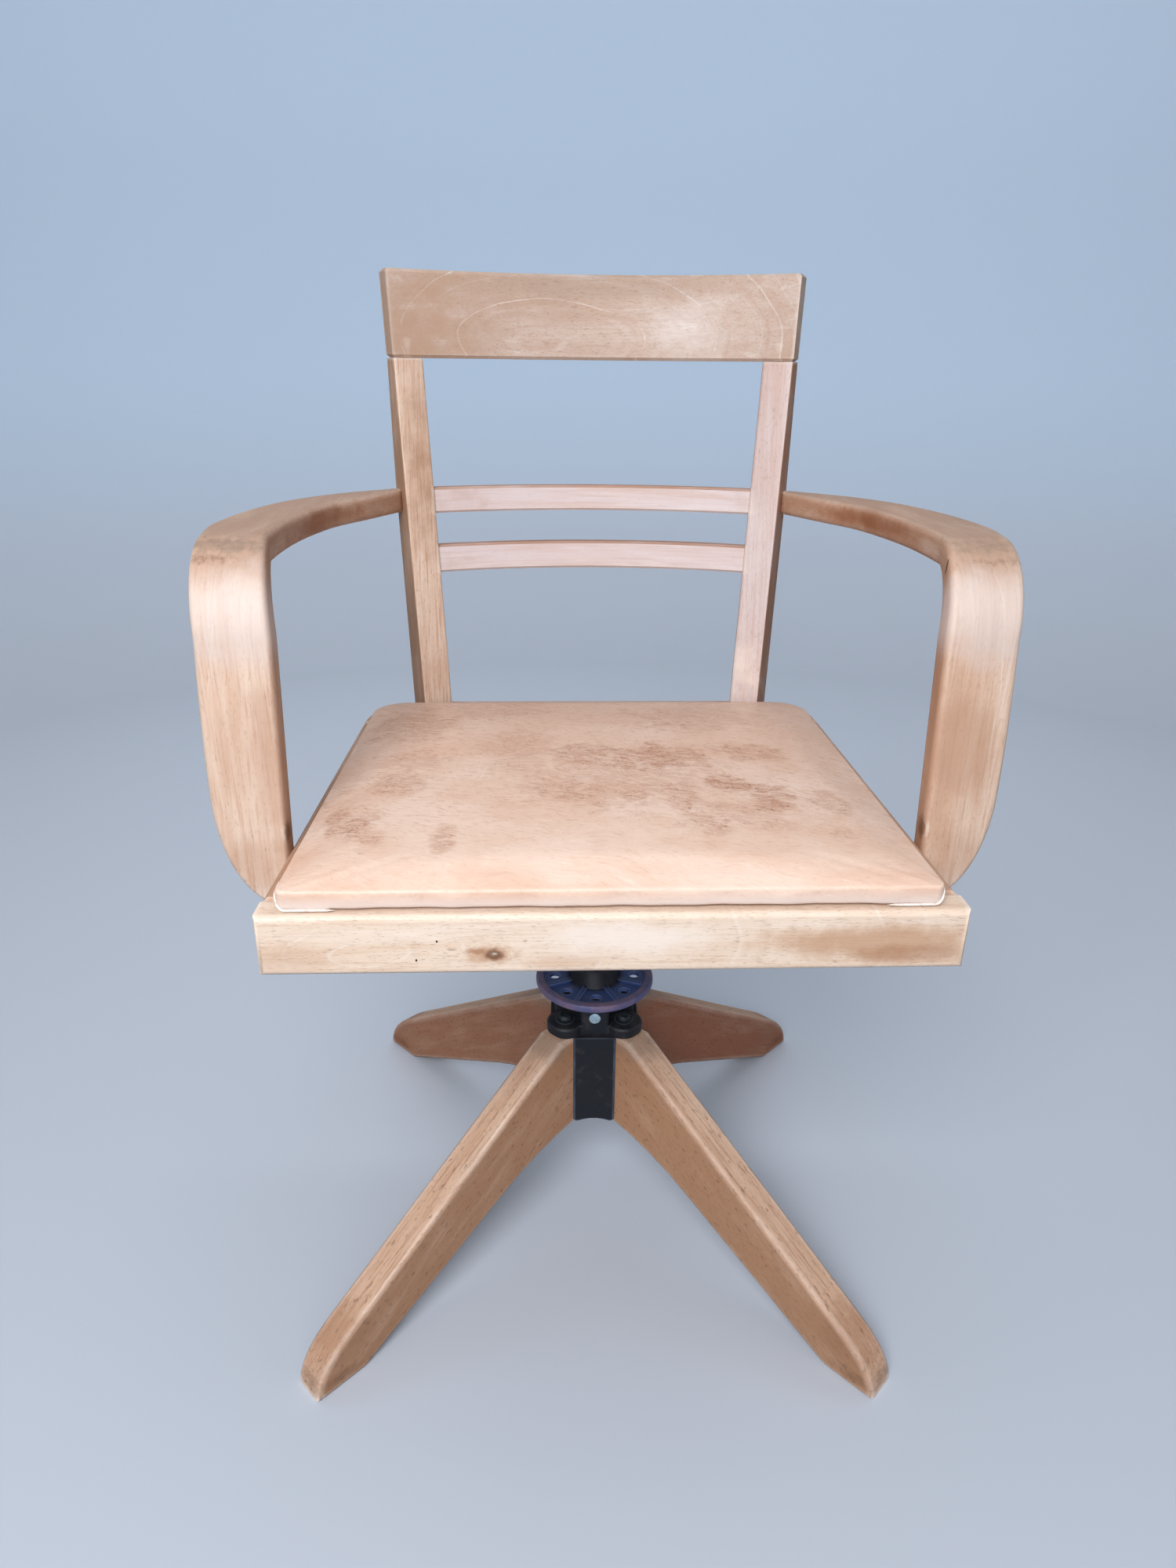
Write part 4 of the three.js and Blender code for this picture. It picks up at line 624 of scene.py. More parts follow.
# %% Arms
def arm_marks(out):
    """Marks of one arm, most of them mirrored; the left arm is the dirtier one."""
    dark = 0.75 if out < 0 else 0.50
    marks = [mark((0.195 * out, 0.020, 0.658), (0.060, 0.100, 0.012), 0.95 if out > 0 else 0.75, "glaze", 0.03),
             mark((0.220 * out, -0.085, 0.655), (0.010, 0.040, 0.010), 0.45, "pale", 0.02),
             mark((0.250 * out, -0.135, 0.666), (0.050, 0.020, 0.008), dark, "dirt", 0.007, 2.0, 0.8),
             # a pale place on the front of the bend: rubbed wood and a painted highlight
             mark((0.240 * out, -0.160, 0.625), (0.070, 0.030, 0.045), 0.60, "bare", 0.03),
             mark((0.258 * out, -0.155, 0.657), (0.034, 0.020, 0.0035), 0.9 * dark, "stain", 0.004, 2.2, 0.9),
             mark((0.225 * out, -0.168, 0.530), (0.012, 0.020, 0.090), 0.45, "line", 0.02),
             mark((0.238 * out, -0.168, 0.535), (0.030, 0.020, 0.060), 0.25 if out < 0 else 0.6, "line", 0.03),
             mark((0.243 * out, -0.168, 0.455), (0.022, 0.020, 0.030), 0.4, "line", 0.02),
             mark((0.2215 * out, -0.167, 0.4770), (0.0020, 0.010, 0.0080), 0.5, "gleam", 0.003),
             mark((0.2195 * out, -0.163, 0.4760), (0.0018, 0.010, 0.0110), 0.8, "stain", 0.004)]
    if out > 0:
        marks.append(mark((0.2185, -0.1383, 0.6525), (0.0070, 0.0016, 0.0065), 0.9, "hole", 0.003, 0.3, 0.4))
    else:
        marks.append(mark((-0.2645, -0.166, 0.646), (0.0020, 0.010, 0.0030), 0.8, "stain", 0.002))
    return marks


# The arms' own tones: a dark old glaze, a pale tone for the rubbed place at the bend that is also a painted
# highlight, and a darker tone for the tops from hands and painted shade.
arm_tone = SEAT_TONE | tones(glaze=(0.270, 0.100, 0.042), bare=(0.640, 0.560, 0.540),
                             hand=(0.400, 0.255, 0.185), worn=(0.800, 0.700, 0.640))
for side, out in SIDES:
    # Inner faces are darker from old varnish and painted shade, tops from hand grime and painted shade, and the pale
    # edges are rubbed wood and a painted highlight.
    dress(beech("arm_beech_" + side, arm_tone, heart=(-0.2, 0.05, 0.20 * out), ring=0.009, ripple=0.02,
                lines=("gleam", 0.4), clouds=(0.35, 0.75), board=bent_board, marks=arm_marks(out), fibres=0.5,
                wear_and_highlight=0.8, faces=[((-out, 0, 0), "varnish", 0.75), (UP, "hand", 0.85)], radius=0.0055, rough=0.48),
          "seat_wood", "arm_" + side)
print("arms:", 2)

# %% [markdown]
# ## The legs
#
# The legs are browner than the seat and are knocked by shoes and brooms, so their long corners are rubbed to
# pale wood, which is also a painted highlight along the corners. Their sides are darker, from old varnish and from
# painted shade, and the back legs are painted darker still, as shade from the seat. Their grain follows the slope
# from the hub to the foot.

# %% Legs
LEG_SLOPE = -0.65
BASE_TURN = math.radians(-1.4)
# The back legs' varnish is darker than the front legs': old varnish and painted shade from the seat.
BACK_VARNISH_AND_SHADE = {"leg_back_left": (0.365, 0.158, 0.088), "leg_back_right": (0.348, 0.122, 0.063)}
FOOT_MARKS = (  # distance from the axis, height, reach, share, tone, ragged border
    (0.060, 0.200, (0.030, 0.030, 0.02), 0.6, "dirt", 0.008), (0.30, 0.04, (0.04, 0.04, 0.03), 0.5, "line", 0.012),
    (0.31, 0.012, (0.03, 0.03, 0.010), 0.5, "stain", 0.008))
for name, turn in (("leg_back_right", 1), ("leg_back_left", 3), ("leg_front_left", 5), ("leg_front_right", 7)):
    angle = turn * math.pi / 4 + BASE_TURN
    out = Vector((math.cos(angle), math.sin(angle), 0.0))
    across = Vector((-out.y, out.x, 0.0))
    marks = [mark(Vector(AXIS) + out * reach + Vector((0, 0, height)), size, share, paint, ragged)
             for reach, height, size, share, paint, ragged in FOOT_MARKS]
    tone = LEG_TONE
    # The back legs are painted darker, in their pale tone too: shade from the seat over them.
    if name in BACK_VARNISH_AND_SHADE:
        tone = LEG_TONE | tones(varnish=BACK_VARNISH_AND_SHADE[name], pale=(0.560, 0.340, 0.220))
    # Both sides of a leg are darker than its top: old varnish and painted shade; its corners are pale, rubbed and
    # with a painted highlight.
    dress(beech(name + "_beech", tone, along=(out.x, out.y, LEG_SLOPE), heart=out * 0.1 + Vector((0, 0, 0.02)),
                stretch=9.0, ring=0.0055, lines=("line", 0.4), bands=0.25, clouds=(0.3, 0.7), flecks=0.6, dents=0.5,
                wear_and_highlight=1.0, radius=0.0075, marks=marks,
                faces=[(across, "varnish", 0.95), (-across, "varnish", 0.95)]), "leg_wood", name)
print("legs:", 4)

# %% [markdown]
# ## Iron and steel
#
# Cast iron keeps the grain of the sand that it was poured in. Under old black paint and oil it is nearly black,
# with a little brown rust where the paint has gone, and pale bluish corners that are partly worn metal and partly
# a painted highlight. One group gives that grain and the rust; the materials mix it with their own paint.

# %% Cast skin
def make_cast_skin():
    tree, bench, given, end = new_group("cast_skin", [
        ("Place", "Vector", None), ("Grain", "Float", 1100.0)], ["Sand", "Rust", "Dust"])
    bench.feed(end["Sand"], bench.noise(given["Place"], bench.join(given["Grain"]), 3.0, 0.7))
    broad = bench.noise(given["Place"], 70.0, 6.0, 0.68)
    bench.feed(end["Rust"], bench.rise(broad, 0.54, 0.68))
    up = bench.split(bench.node("ShaderNodeNewGeometry").outputs["Normal"])[2]
    bench.feed(end["Dust"], bench.sum("MULTIPLY", bench.rise(up, 0.3, 1.0), bench.rise(broad, 0.35, 0.6)))
    return told(tree)


cast_skin = make_cast_skin()

# %% [markdown]
# The castings are painted black. The hand wheel is painted too: blue-grey, with a reddish rim, and near black
# painted shade at its middle, round the screw.

# %% Castings
RUST, DUST = colour(0.105, 0.042, 0.022), colour(0.16, 0.145, 0.13)
RIM_START, RIM_FULL = 0.0455, 0.0500  # distances from the axis
# near the axis the wheel is painted near black: painted shade under the seat, round the screw
CENTRE_SHADE_FULL, CENTRE_SHADE_END = 0.0230, 0.0290


def iron(name, paint, rust, bright, rust_share, wear_and_highlight, sheen=0.55, radius=0.0018, extra=None):
    """Painted or blackened castings, with pale bluish corners of rubbed metal and a painted highlight. extra, if
    given, is (bench, place, tint) to tint, for a part's own marks and painted shade.
    """
    material, bench, surface = plain_surface(name)
    place = place_of(bench)
    sand, rusty, dusty = bench.fill(cast_skin, {"Place": place})[:3]
    tint = bench.coat(paint, rusty, rust_share, rust)
    if extra:
        tint = extra(bench, place, tint)
    # pale corners: worn metal and a painted highlight
    tint = rub_and_highlight(bench, place, bench.coat(tint, dusty, 0.22, DUST), radius, 0.6, wear_and_highlight, bright)
    bench.feed(surface.inputs["Metallic"], bench.sum("MULTIPLY_ADD", rusty, -0.35, sheen))
    lay(bench, surface, tint, bench.sum("MULTIPLY_ADD", sand, 0.3, 0.33), sand, 0.5, 0.0004)
    return material


def red_rim_and_centre_shade(bench, place, tint):
    """Old reddish paint on the wheel's rim, and near black painted shade round the screw: both go by the distance
    from the axis.
    """
    away = bench.arrow("LENGTH", bench.arrow("MULTIPLY", bench.arrow("SUBTRACT", place, AXIS), (1.0, 1.0, 0.0)))
    patches = bench.rise(bench.noise(place, 45.0, 4.0, 0.6), 0.38, 0.62, 0.35, 1.0)
    tint = bench.coat(tint, bench.rise(away, RIM_START, RIM_FULL), patches, colour(0.240, 0.170, 0.280))
    # painted shade, near black, round the screw
    return bench.mix(bench.rise(away, CENTRE_SHADE_FULL, CENTRE_SHADE_END, 0.95, 0.0), tint, colour(0.010, 0.010, 0.012))


# The bright tones of the corners: on the black iron bluish worn metal with a painted highlight, on the wheel a
# painted highlight on its ribs and edges.
black_iron = iron("black_iron_skin", colour(0.023, 0.027, 0.037), RUST, colour(0.26, 0.31, 0.42), 0.12, 0.4)
wheel_iron = iron("wheel_iron_skin", colour(0.058, 0.112, 0.315), colour(0.12, 0.09, 0.15), colour(0.44, 0.48, 0.72),
                  0.35, 0.5, 0.3, 0.0011, red_rim_and_centre_shade)
dress(black_iron, "black_iron", "hub_casting", "tilt_yoke", "seat_iron")
dress(wheel_iron, "wheel_iron", "hand_wheel")
print("castings:", 4)

# %% [markdown]
# Screws, bolts and pins are steel. Turning and drawing leave fine scratches, and oil and tarnish lie over them in
# slow clouds. The round set screw in the hub is zinc plated, so it is the brightest thing below the seat.

# %% Steel
SCRATCHES = (900.0, 900.0, 60.0)  # how often they come along each axis: they run upwards


def steel(name, tint_low, tint_high, roughness, metallic=1.0):
    """Turned or drawn steel: fine scratches and slow clouds of oil and tarnish."""
    material, bench, surface = plain_surface(name)
    place = place_of(bench)
    cloud = bench.noise(place, 110.0, 4.0, 0.65)
    line = bench.noise(place, SCRATCHES, 2.0, 0.6)
    tint = bench.mix(bench.rise(cloud, 0.35, 0.65), tint_low, tint_high)
    tint = bench.mix(bench.rise(line, 0.5, 0.7, 0.0, 0.3), tint, tint_high)
    surface.inputs["Metallic"].default_value = metallic
    lay(bench, surface, tint, bench.sum("MULTIPLY_ADD", cloud, 0.3, roughness), line, 0.25, 0.0002)
    return material


oiled_steel = steel("oiled_steel", colour(0.075, 0.07, 0.068), colour(0.30, 0.295, 0.29), 0.22)
bolt_steel = steel("blackened_bolt_steel", colour(0.010, 0.014, 0.018), colour(0.060, 0.076, 0.088), 0.4, 0.6)
zinc_steel = steel("zinc_plate", colour(0.38, 0.54, 0.68), colour(0.58, 0.80, 0.92), 0.3, 0.45)
sides = ("left", "right")
dress(bolt_steel, "black_iron", *[f"leg_bolt_{end}_{side}" for end in ("front", "back") for side in sides])
dress(oiled_steel, "dark_steel", "spindle_bush", "thrust_washer", "yoke_pin", "pivot_pin",
      *[f"iron_screw_{side}_{row}" for side in sides for row in range(1, 5)],
      *[f"arm_screw_{side}_{row}" for side in sides for row in ("lower", "upper")])
dress(zinc_steel, "zinc_steel", "bush_set_screw")
print("pieces with a material:", len(slots))

# %% [markdown]
# ## From arrays to meshes
#
# Each new piece is a stack of rings of points. A ring is one row of an array, and the skin joins each point to
# its neighbour on the ring and to the same point on the next ring. Both ends are closed by a fan of
# triangles to a middle point, so that the piece is one sealed body.

# %% Skin
def build(name, places, faces, material, smooth=None):
    """An object at the origin from points and faces, shaded smoothly but for edges sharper than an angle."""
    mesh = bpy.data.meshes.new(name)
    mesh.from_pydata(places.tolist(), [], faces)
    mesh.materials.append(material)
    mesh.polygons.foreach_set("use_smooth", np.ones(len(mesh.polygons), bool))
    if smooth is not None:
        mesh.set_sharp_from_angle(angle=math.radians(smooth))
    return placed(name, mesh)


def ring_quads(count, points):
    """Four-sided faces between each ring and the next, as an array of point numbers."""
    row = np.arange(points)
    after = np.roll(row, -1)
    start = (np.arange(count - 1) * points)[:, None]
    return np.stack([start + row, start + after, start + points + after, start + points + row], -1).reshape(-1, 4)


def skin(name, rings, material, smooth):
    """A closed mesh from rings shaped (rings, points, 3), every ring anticlockwise seen against the way they go."""
    count, points = rings.shape[:2]
    places = np.concatenate([rings.reshape(-1, 3), rings[0].mean(0)[None], rings[-1].mean(0)[None]])
    row = np.arange(points)
    after = np.roll(row, -1)
    last = (count - 1) * points
    low = np.stack([after, row, np.full(points, count * points)], -1)
    high = np.stack([last + row, last + after, np.full(points, count * points + 1)], -1)
    faces = ring_quads(count, points).tolist() + low.tolist() + high.tolist()
    made = build(name, places, faces, material, smooth)
    print(name, len(faces), "faces")
    return made


print("two rings of four points have", len(ring_quads(2, 4)), "faces between them")

# %% [markdown]
# Two more tools make the rings: a smooth curve through a few places, and a tube round a path.

# %% Curve and tube
def curve(places, steps):
    """A smooth line through places. Between two of them it is a cubic whose slopes are taken from the
    neighbours, and the parameter runs by distance, so that it doesn't swing where places lie close."""
    places = np.asarray(places, float)
    knots = np.concatenate([[0.0], np.cumsum(np.linalg.norm(np.diff(places, axis=0), axis=1))])
    slopes = np.gradient(places, knots, axis=0)
    at = np.linspace(0, knots[-1], steps)
    left = np.clip(np.searchsorted(knots, at, side="right") - 1, 0, len(knots) - 2)
    span = (knots[left + 1] - knots[left])[:, None]
    share = (at - knots[left])[:, None] / span
    start, end = 2 * share**3 - 3 * share**2 + 1, 3 * share**2 - 2 * share**3
    leave, reach = share**3 - 2 * share**2 + share, share**3 - share**2
    return start * places[left] + end * places[left + 1] + span * (leave * slopes[left] + reach * slopes[left + 1])


def tube(path, radii, sides):
    """Rings round a path. At each point the frame is the way forwards, and two directions across it that
    are carried along without twisting. radii is one number per point, or a pair for an oval."""
    forwards = np.gradient(path, axis=0)
    forwards /= np.linalg.norm(forwards, axis=1)[:, None]
    seed = np.array([0.0, 0.0, 1.0]) if abs(forwards[0, 2]) < 0.9 else np.array([1.0, 0.0, 0.0])
    side = np.cross(forwards, seed)
    side /= np.linalg.norm(side, axis=1)[:, None]
    other = np.cross(side, forwards)
    turn = np.linspace(0, 2 * np.pi, sides, endpoint=False)
    radii = np.broadcast_to(np.asarray(radii, float).T, (2, len(path))).T
    return (path[:, None] + radii[:, :1, None] * np.cos(turn)[:, None] * side[:, None]
            - radii[:, 1:, None] * np.sin(turn)[:, None] * other[:, None])


print("a straight tube has", len(tube(np.array([[0.0, 0, 0], [0, 0, 1], [0, 0, 2]]), np.ones(3), 6)), "rings")

# %% [markdown]
# ## The bent arms
#
# Each arm is one bent board. Its section is a rounded rectangle that is carried along five stretches: from the
# stile forwards, round the bend, down the blade to the seat rail, and round its lower end. A row of the arrays
# below is one station on the way: the inner lower corner of the section, the way across, and the way up through
# the board's thickness.

# %% Stations along an arm
BACK_FOOT = (0.16889, 0.13584)  # where the arm's face meets the stile, from the axis
STILE_WAY = (0.4346, 0.9006)  # backwards along the stile's outer side
STILE_DEPTH = 0.02934
RUN_STATIONS, BEND_STATIONS, BLADE_STATIONS, FOOT_STATIONS = 70, 30, 39, 33
ARM_TOP, ARM_THICK, ARM_BEND = 0.6680, 0.0200, 0.0380
ARM_FRONT, ARM_SWEEP = -0.1750, 0.1090
BLADE_IN, BLADE_WIDE, BLADE_WIDEN = 0.2150, 0.0493, 0.0038
RAIL_TOP, RAIL_SIDE, ARM_FOOT, FOOT_RISE, FOOT_TIP = 0.4620, 0.2198, 0.4215, 0.0790, 0.0090
BEND_START = ARM_FRONT + ARM_THICK + ARM_BEND
INNER_SHARES = [(0.22, 0.155), (0.396, 0.335), (0.48, 0.515), (0.522, 0.7), (0.522, 0.87), (0.508, 1)]
OUTER_SHARES = [(0.57, 0.09), (0.81, 0.275), (0.94, 0.485), (0.993, 0.7), (0.993, 0.85), (0.932, 1)]


def arm_edge(shares, along_stile):
    """One long edge in plan: shares of the sweep outwards and of the way forwards to the bend."""
    out, forward = np.array(shares).T
    start = np.add(BACK_FOOT, np.multiply(STILE_WAY, along_stile * STILE_DEPTH))
    places = np.column_stack([BACK_FOOT[0] + out * ARM_SWEEP, BACK_FOOT[1] + (BEND_START - BACK_FOOT[1]) * forward])
    return curve(np.vstack([start, places]), RUN_STATIONS)


def arm_stations():
    """Corners (stations, 3), and the vectors across the board and through its thickness. Along the run the two long
    edges are curves in plan, round the bend a quarter circle, and down the blade and its foot the width follows
    a quarter sine, which at the tip falls like a quarter ellipse."""
    inner, outer = arm_edge(INNER_SHARES, 0.38), arm_edge(OUTER_SHARES, 1.0)
    level = np.full((RUN_STATIONS, 1), ARM_TOP - ARM_THICK)
    run_corner, run_far = np.hstack([inner, level]), np.hstack([outer, level])
    run_up = np.tile([0.0, 0.0, ARM_THICK], (RUN_STATIONS, 1))

    share = np.linspace(0, 1, BEND_STATIONS + 1)[1:]
    settled = 1 - (1 - share) ** 1.5
    turn = np.column_stack([0 * share, -np.sin(share * np.pi / 2), np.cos(share * np.pi / 2)])
    centre = np.array([0.0, BEND_START, ARM_TOP - ARM_THICK - ARM_BEND])
    low = centre + ARM_BEND * turn
    bend_corner, bend_far = low.copy(), low.copy()
    bend_corner[:, 0] = inner[-1, 0] + (BLADE_IN - inner[-1, 0]) * settled
    bend_far[:, 0] = outer[-1, 0] + (BLADE_IN + BLADE_WIDE - outer[-1, 0]) * settled

    foot_top = ARM_FOOT + FOOT_RISE
    straight = np.linspace(centre[2], foot_top, BLADE_STATIONS + 1)[1:]
    foot = foot_top - FOOT_RISE * np.sin(np.linspace(0, np.pi / 2, FOOT_STATIONS + 1))[1:]
    height = np.concatenate([straight, foot])
    lean = np.clip((height - RAIL_TOP) / (centre[2] - RAIL_TOP), 0, 1)
    inside = RAIL_SIDE + (BLADE_IN - RAIL_SIDE) * lean
    sag = np.clip((foot_top - height) / FOOT_RISE, 0, 1)
    down = np.clip((centre[2] - height) / (centre[2] - foot_top), 0, 1)
    full = BLADE_IN + BLADE_WIDE + BLADE_WIDEN * np.sin(down * np.pi / 2) - inside
    wide = FOOT_TIP + (full - FOOT_TIP) * np.sqrt(1 - sag**2)
    front = np.full(len(height), ARM_FRONT + ARM_THICK)
    blade_corner = np.column_stack([inside, front, height])
    blade_far = np.column_stack([inside + wide, front, height])
    blade_up = np.tile([0.0, -ARM_THICK, 0.0], (len(height), 1))

    corner = np.vstack([run_corner, bend_corner, blade_corner])
    across = np.vstack([run_far, bend_far, blade_far]) - corner
    return corner, across, np.vstack([run_up, ARM_THICK * turn, blade_up])


print("stations along an arm:", len(arm_stations()[0]))

# %% [markdown]
# The section's corners are quarter circles. Their radius shrinks at the tip, so that the lower end closes softly.

# %% Arms from rounded sections
ARM_ROUND = 0.0050


def rounded_rings(corner, across, up, radius, steps=7):
    """Rounded rectangles: the four quarter circles are placed by shares of the width and the thickness."""
    width, thick = np.linalg.norm(across, axis=1)[:, None], np.linalg.norm(up, axis=1)[:, None]
    radius = np.minimum(radius, width / 3)
    turn = (np.arange(4)[:, None] - 1) * np.pi / 2 + np.linspace(0, np.pi / 2, steps)
    right = np.repeat([1, 1, 0, 0], steps)
    high = np.repeat([0, 1, 1, 0], steps)
    x = radius + right * (width - 2 * radius) + radius * np.cos(turn.ravel())
    y = radius + high * (thick - 2 * radius) + radius * np.sin(turn.ravel())
    return (corner[:, None] + x[..., None] * (across / width)[:, None] + y[..., None] * (up / thick)[:, None])


arm_rings = rounded_rings(*arm_stations(), ARM_ROUND) + np.array(AXIS)
for side, out in SIDES:
    rings = (arm_rings * (out, 1, 1))[:, ::out]  # a mirrored ring runs the other way round, so it is turned
    arm = skin("bent_arm_" + side, rings, nodes["arm_" + side].data.materials[0], 60)
    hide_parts("arm_" + side)
    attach(arm, "seat")

# %% [markdown]
# ## Joined copies of the other pieces
#
# The plain model comes as loose triangles, and each is shaded flat. A copy with its triangles joined can be
# shaded smoothly wherever two faces meet at a small angle, and stays sharp at true corners. A modifier gives
# the large faces more say in the shading than the narrow ones beside them, so flat boards stay flat.

# %% Joined copies
SOFT_ANGLE = 33.0  # degrees: flatter edges are shaded smoothly


def joined_copy(name):
    """Points at the same place become one point: equal rows are found by sorting, and the faces follow."""
    mesh = nodes[name].data
    places = np.empty(3 * len(mesh.vertices))
    mesh.vertices.foreach_get("co", places)
    corners = np.empty(len(mesh.loops), np.int64)
    mesh.loops.foreach_get("vertex_index", corners)
    kept, where = np.unique(places.reshape(-1, 3), axis=0, return_inverse=True)
    faces = where.ravel()[corners].reshape(-1, 3)
    whole = (faces != np.roll(faces, 1, axis=1)).all(axis=1)
    made = build(name + "_joined", kept, faces[whole].tolist(), mesh.materials[0], SOFT_ANGLE)
    made.modifiers.new("even shading", "WEIGHTED_NORMAL").keep_sharp = True
    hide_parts(name)
    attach(made, nodes[name]["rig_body"])


for name, slot in slots.items():
    if name not in ("arm_left", "arm_right"):
        joined_copy(name)
print("joined copies:", len(slots) - 2)

# %% [markdown]
# ## The height screw
#
# The seat goes up and down on a screw that does not turn: the hand wheel is its nut. The plain model has
# a smooth rod, and here it gets its thread. On a grid of turn and height the radius depends only on where
# the point lies in one pitch, counted from the helix: flat crest, slope, flat root, slope.

# %% Thread
PITCH = 0.006
SCREW_RADIUS, THREAD_DEPTH = 0.0122, 0.0017
PLAIN_END, FADE, CHAMFER = 0.004, 0.003, 0.0018  # the ends have no thread and are bevelled
screw_low, screw_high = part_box("spindle")


def thread_radius(turn, height):
    """Radius of a trapezoid thread: the share of the pitch past the helix gives crest, slope, root or slope."""
    share = (height / PITCH - turn / (2 * np.pi)) % 1.0
    slope = np.clip(np.abs(share - 0.5) * 5.0 - 0.75, 0.0, 1.0)
    ends = np.minimum(height - screw_low.z, screw_high.z - height)
    cut = np.clip((ends - PLAIN_END) / FADE, 0.0, 1.0)
    return SCREW_RADIUS - THREAD_DEPTH * slope * cut - np.clip(CHAMFER - ends, 0.0, None)


screw_turn, screw_height = np.meshgrid(np.linspace(0, 2 * np.pi, 40, endpoint=False),
                                       np.linspace(screw_low.z, screw_high.z, 420))
screw_reach = thread_radius(screw_turn, screw_height)
screw_rings = np.stack([AXIS[0] + screw_reach * np.cos(screw_turn), AXIS[1] + screw_reach * np.sin(screw_turn),
                        screw_height], -1)
height_screw = skin("height_screw", screw_rings, oiled_steel, 60)
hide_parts("spindle")
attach(height_screw, "column")

# %% [markdown]
# ## The tilt springs
#
# Two open coils stand on the yoke and push the back of the seat up. The wire follows a helix whose pitch is small
# over the first and last turn, which are ground flat.

# %% Springs
WIRE, COIL = 0.0024, 0.0125  # radii of the wire and of the coil's middle line
TURNS, STEPS = 6.0, 150


def coil_path(middle, low, high):
    """A helix: the angle grows evenly, and the height by an S-curve so that the end turns lie closer."""
    share = np.linspace(0, 1, STEPS)
    climb = share - 0.055 * np.sin(2 * np.pi * share)
    angle = 2 * np.pi * TURNS * share
    rise = low + WIRE + (high - low - 2 * WIRE) * climb
    return np.stack([middle.x + COIL * np.cos(angle), middle.y + COIL * np.sin(angle), rise], -1)


for side in sides:
    low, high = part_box("tilt_spring_" + side)
    middle = (low + high) / 2
    coil = tube(coil_path(middle, low.z, high.z), np.full(STEPS, WIRE), 10)
    wire = skin("spring_" + side, coil, oiled_steel, 60)
    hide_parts("tilt_spring_" + side)
    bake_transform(wire)

# %% [markdown]
# ## The seat pad
#
# Leather is stretched over stuffing on a thin board and turned under it. So the pad is nearly flat with a low
# crown, its edge is a tight roll with a worn ridge, its front wall is upright, and its underside wraps round the
# board. The plan is a rounded trapezoid, and a profile of insets and heights is carried round it as whole arrays.

# %% Plan of the pad
PAD_FRONT, PAD_BACK = -0.2560, 0.116  # from the swivel axis
PAD_EDGE, PAD_CROWN = 0.4760, 0.01032
PAD_ASIDE = -0.0015  # it was put back a little to the left
RAIL_FRONT, RAIL_HALF, RAIL_TAPER = -0.2623, 0.221, 0.0155


def side_at(back):
    """Half the width over the seat frame at a distance behind the swivel axis: the frame narrows evenly."""
    return RAIL_HALF - (back - RAIL_FRONT) * RAIL_TAPER


HALF_FRONT, HALF_BACK = side_at(PAD_FRONT) - 0.0140, side_at(PAD_BACK) - 0.0130
HALF_DEEP = (PAD_BACK - PAD_FRONT) / 2


def arc(x, y, radius, start, steps):
    """A quarter circle round (x, y), anticlockwise from the start angle, without its last point."""
    turn = start + np.linspace(0, np.pi / 2, steps, endpoint=False)
    return np.stack([x + radius * np.cos(turn), y + radius * np.sin(turn)], -1)


def run(first, last, steps):
    """A straight side from first to last, without its last point."""
    return np.add(first, np.subtract(last, first) * np.linspace(0, 1, steps, endpoint=False)[:, None])


def pad_plan(inset):
    """The pad's outline at an inset from its edge, anticlockwise from the front right corner. Further in, the
    corners grow rounder, so that no crease runs inwards from them."""
    front, back = PAD_FRONT + inset, PAD_BACK - inset
    wide, narrow = HALF_FRONT - inset, HALF_BACK - inset
    grown, most = 0.9 * max(inset - 0.005, 0.0), 0.9 * min(narrow, (back - front) / 2)
    near, far = (min(max(radius - inset, least) + grown, most)
                 for radius, least in ((0.006, 0.0035), (0.030, 0.0250)))
    quarter = np.pi / 2
    return np.concatenate([
        arc(wide - near, front + near, near, -quarter, 8),
        run((wide, front + near), (narrow, back - far), 60),
        arc(narrow - far, back - far, far, 0.0, 14),
        run((narrow - far, back), (far - narrow, back), 56),
        arc(far - narrow, back - far, far, quarter, 14),
        run((-narrow, back - far), (-wide, front + near), 60),
        arc(near - wide, front + near, near, 2 * quarter, 8),
        run((near - wide, front), (wide - near, front), 70),
    ])


print("points round the pad:", len(pad_plan(0.0)))

# %% [markdown]
# The profile starts under the pad, wraps round the board, goes up the wall and over the rolled edge, where there
# is a ridge, and then in over the crown.

# %% Profile of the pad
WALL = np.array([  # inset and height in millimetres
    [60.0, 467.4], [30.0, 467.4], [12.7, 467.4], [12.2, 466.4], [11.7, 464.6], [10.4, 463.9], [7.0, 463.7],
    [3.0, 463.7], [1.0, 464.0], [0.2, 465.0], [0.0, 466.6], [-0.1, 469.0], [-0.15, 470.8], [-0.1, 472.6],
    [0.0, 474.0], [0.2, 475.1], [0.8, 476.1], [1.7, 476.6], [2.7, 476.55], [3.9, 476.2], [5.2, 476.15],
]) / 1000


def pad_rings(crown):
    """Rings up the wall and in over the crown, whose height is a product of two arches, each 1 in the middle and 0
    at the edge: (1 - x²)^0.6 across, and (1 - y²)^0.4 from front to back."""
    plans = [(pad_plan(inset), height) for inset, height in WALL]
    rings = [np.column_stack([plan, np.full(len(plan), height)]) for plan, height in plans]
    ridge = WALL[-1, 0]
    for share in np.concatenate([np.linspace(0.012, 0.1, 5), np.linspace(0.13, 0.985, 26)]):
        plan = pad_plan(ridge + share * (HALF_DEEP - ridge))
        across = np.clip(1 - (plan[:, 0] / HALF_FRONT) ** 2, 0, 1) ** 0.6
        deep = np.clip(1 - ((plan[:, 1] - (PAD_BACK - HALF_DEEP)) / HALF_DEEP) ** 2, 0, 1) ** 0.4
        rings.append(np.column_stack([plan, PAD_EDGE + crown * (across * deep)]))
    return np.array(rings)


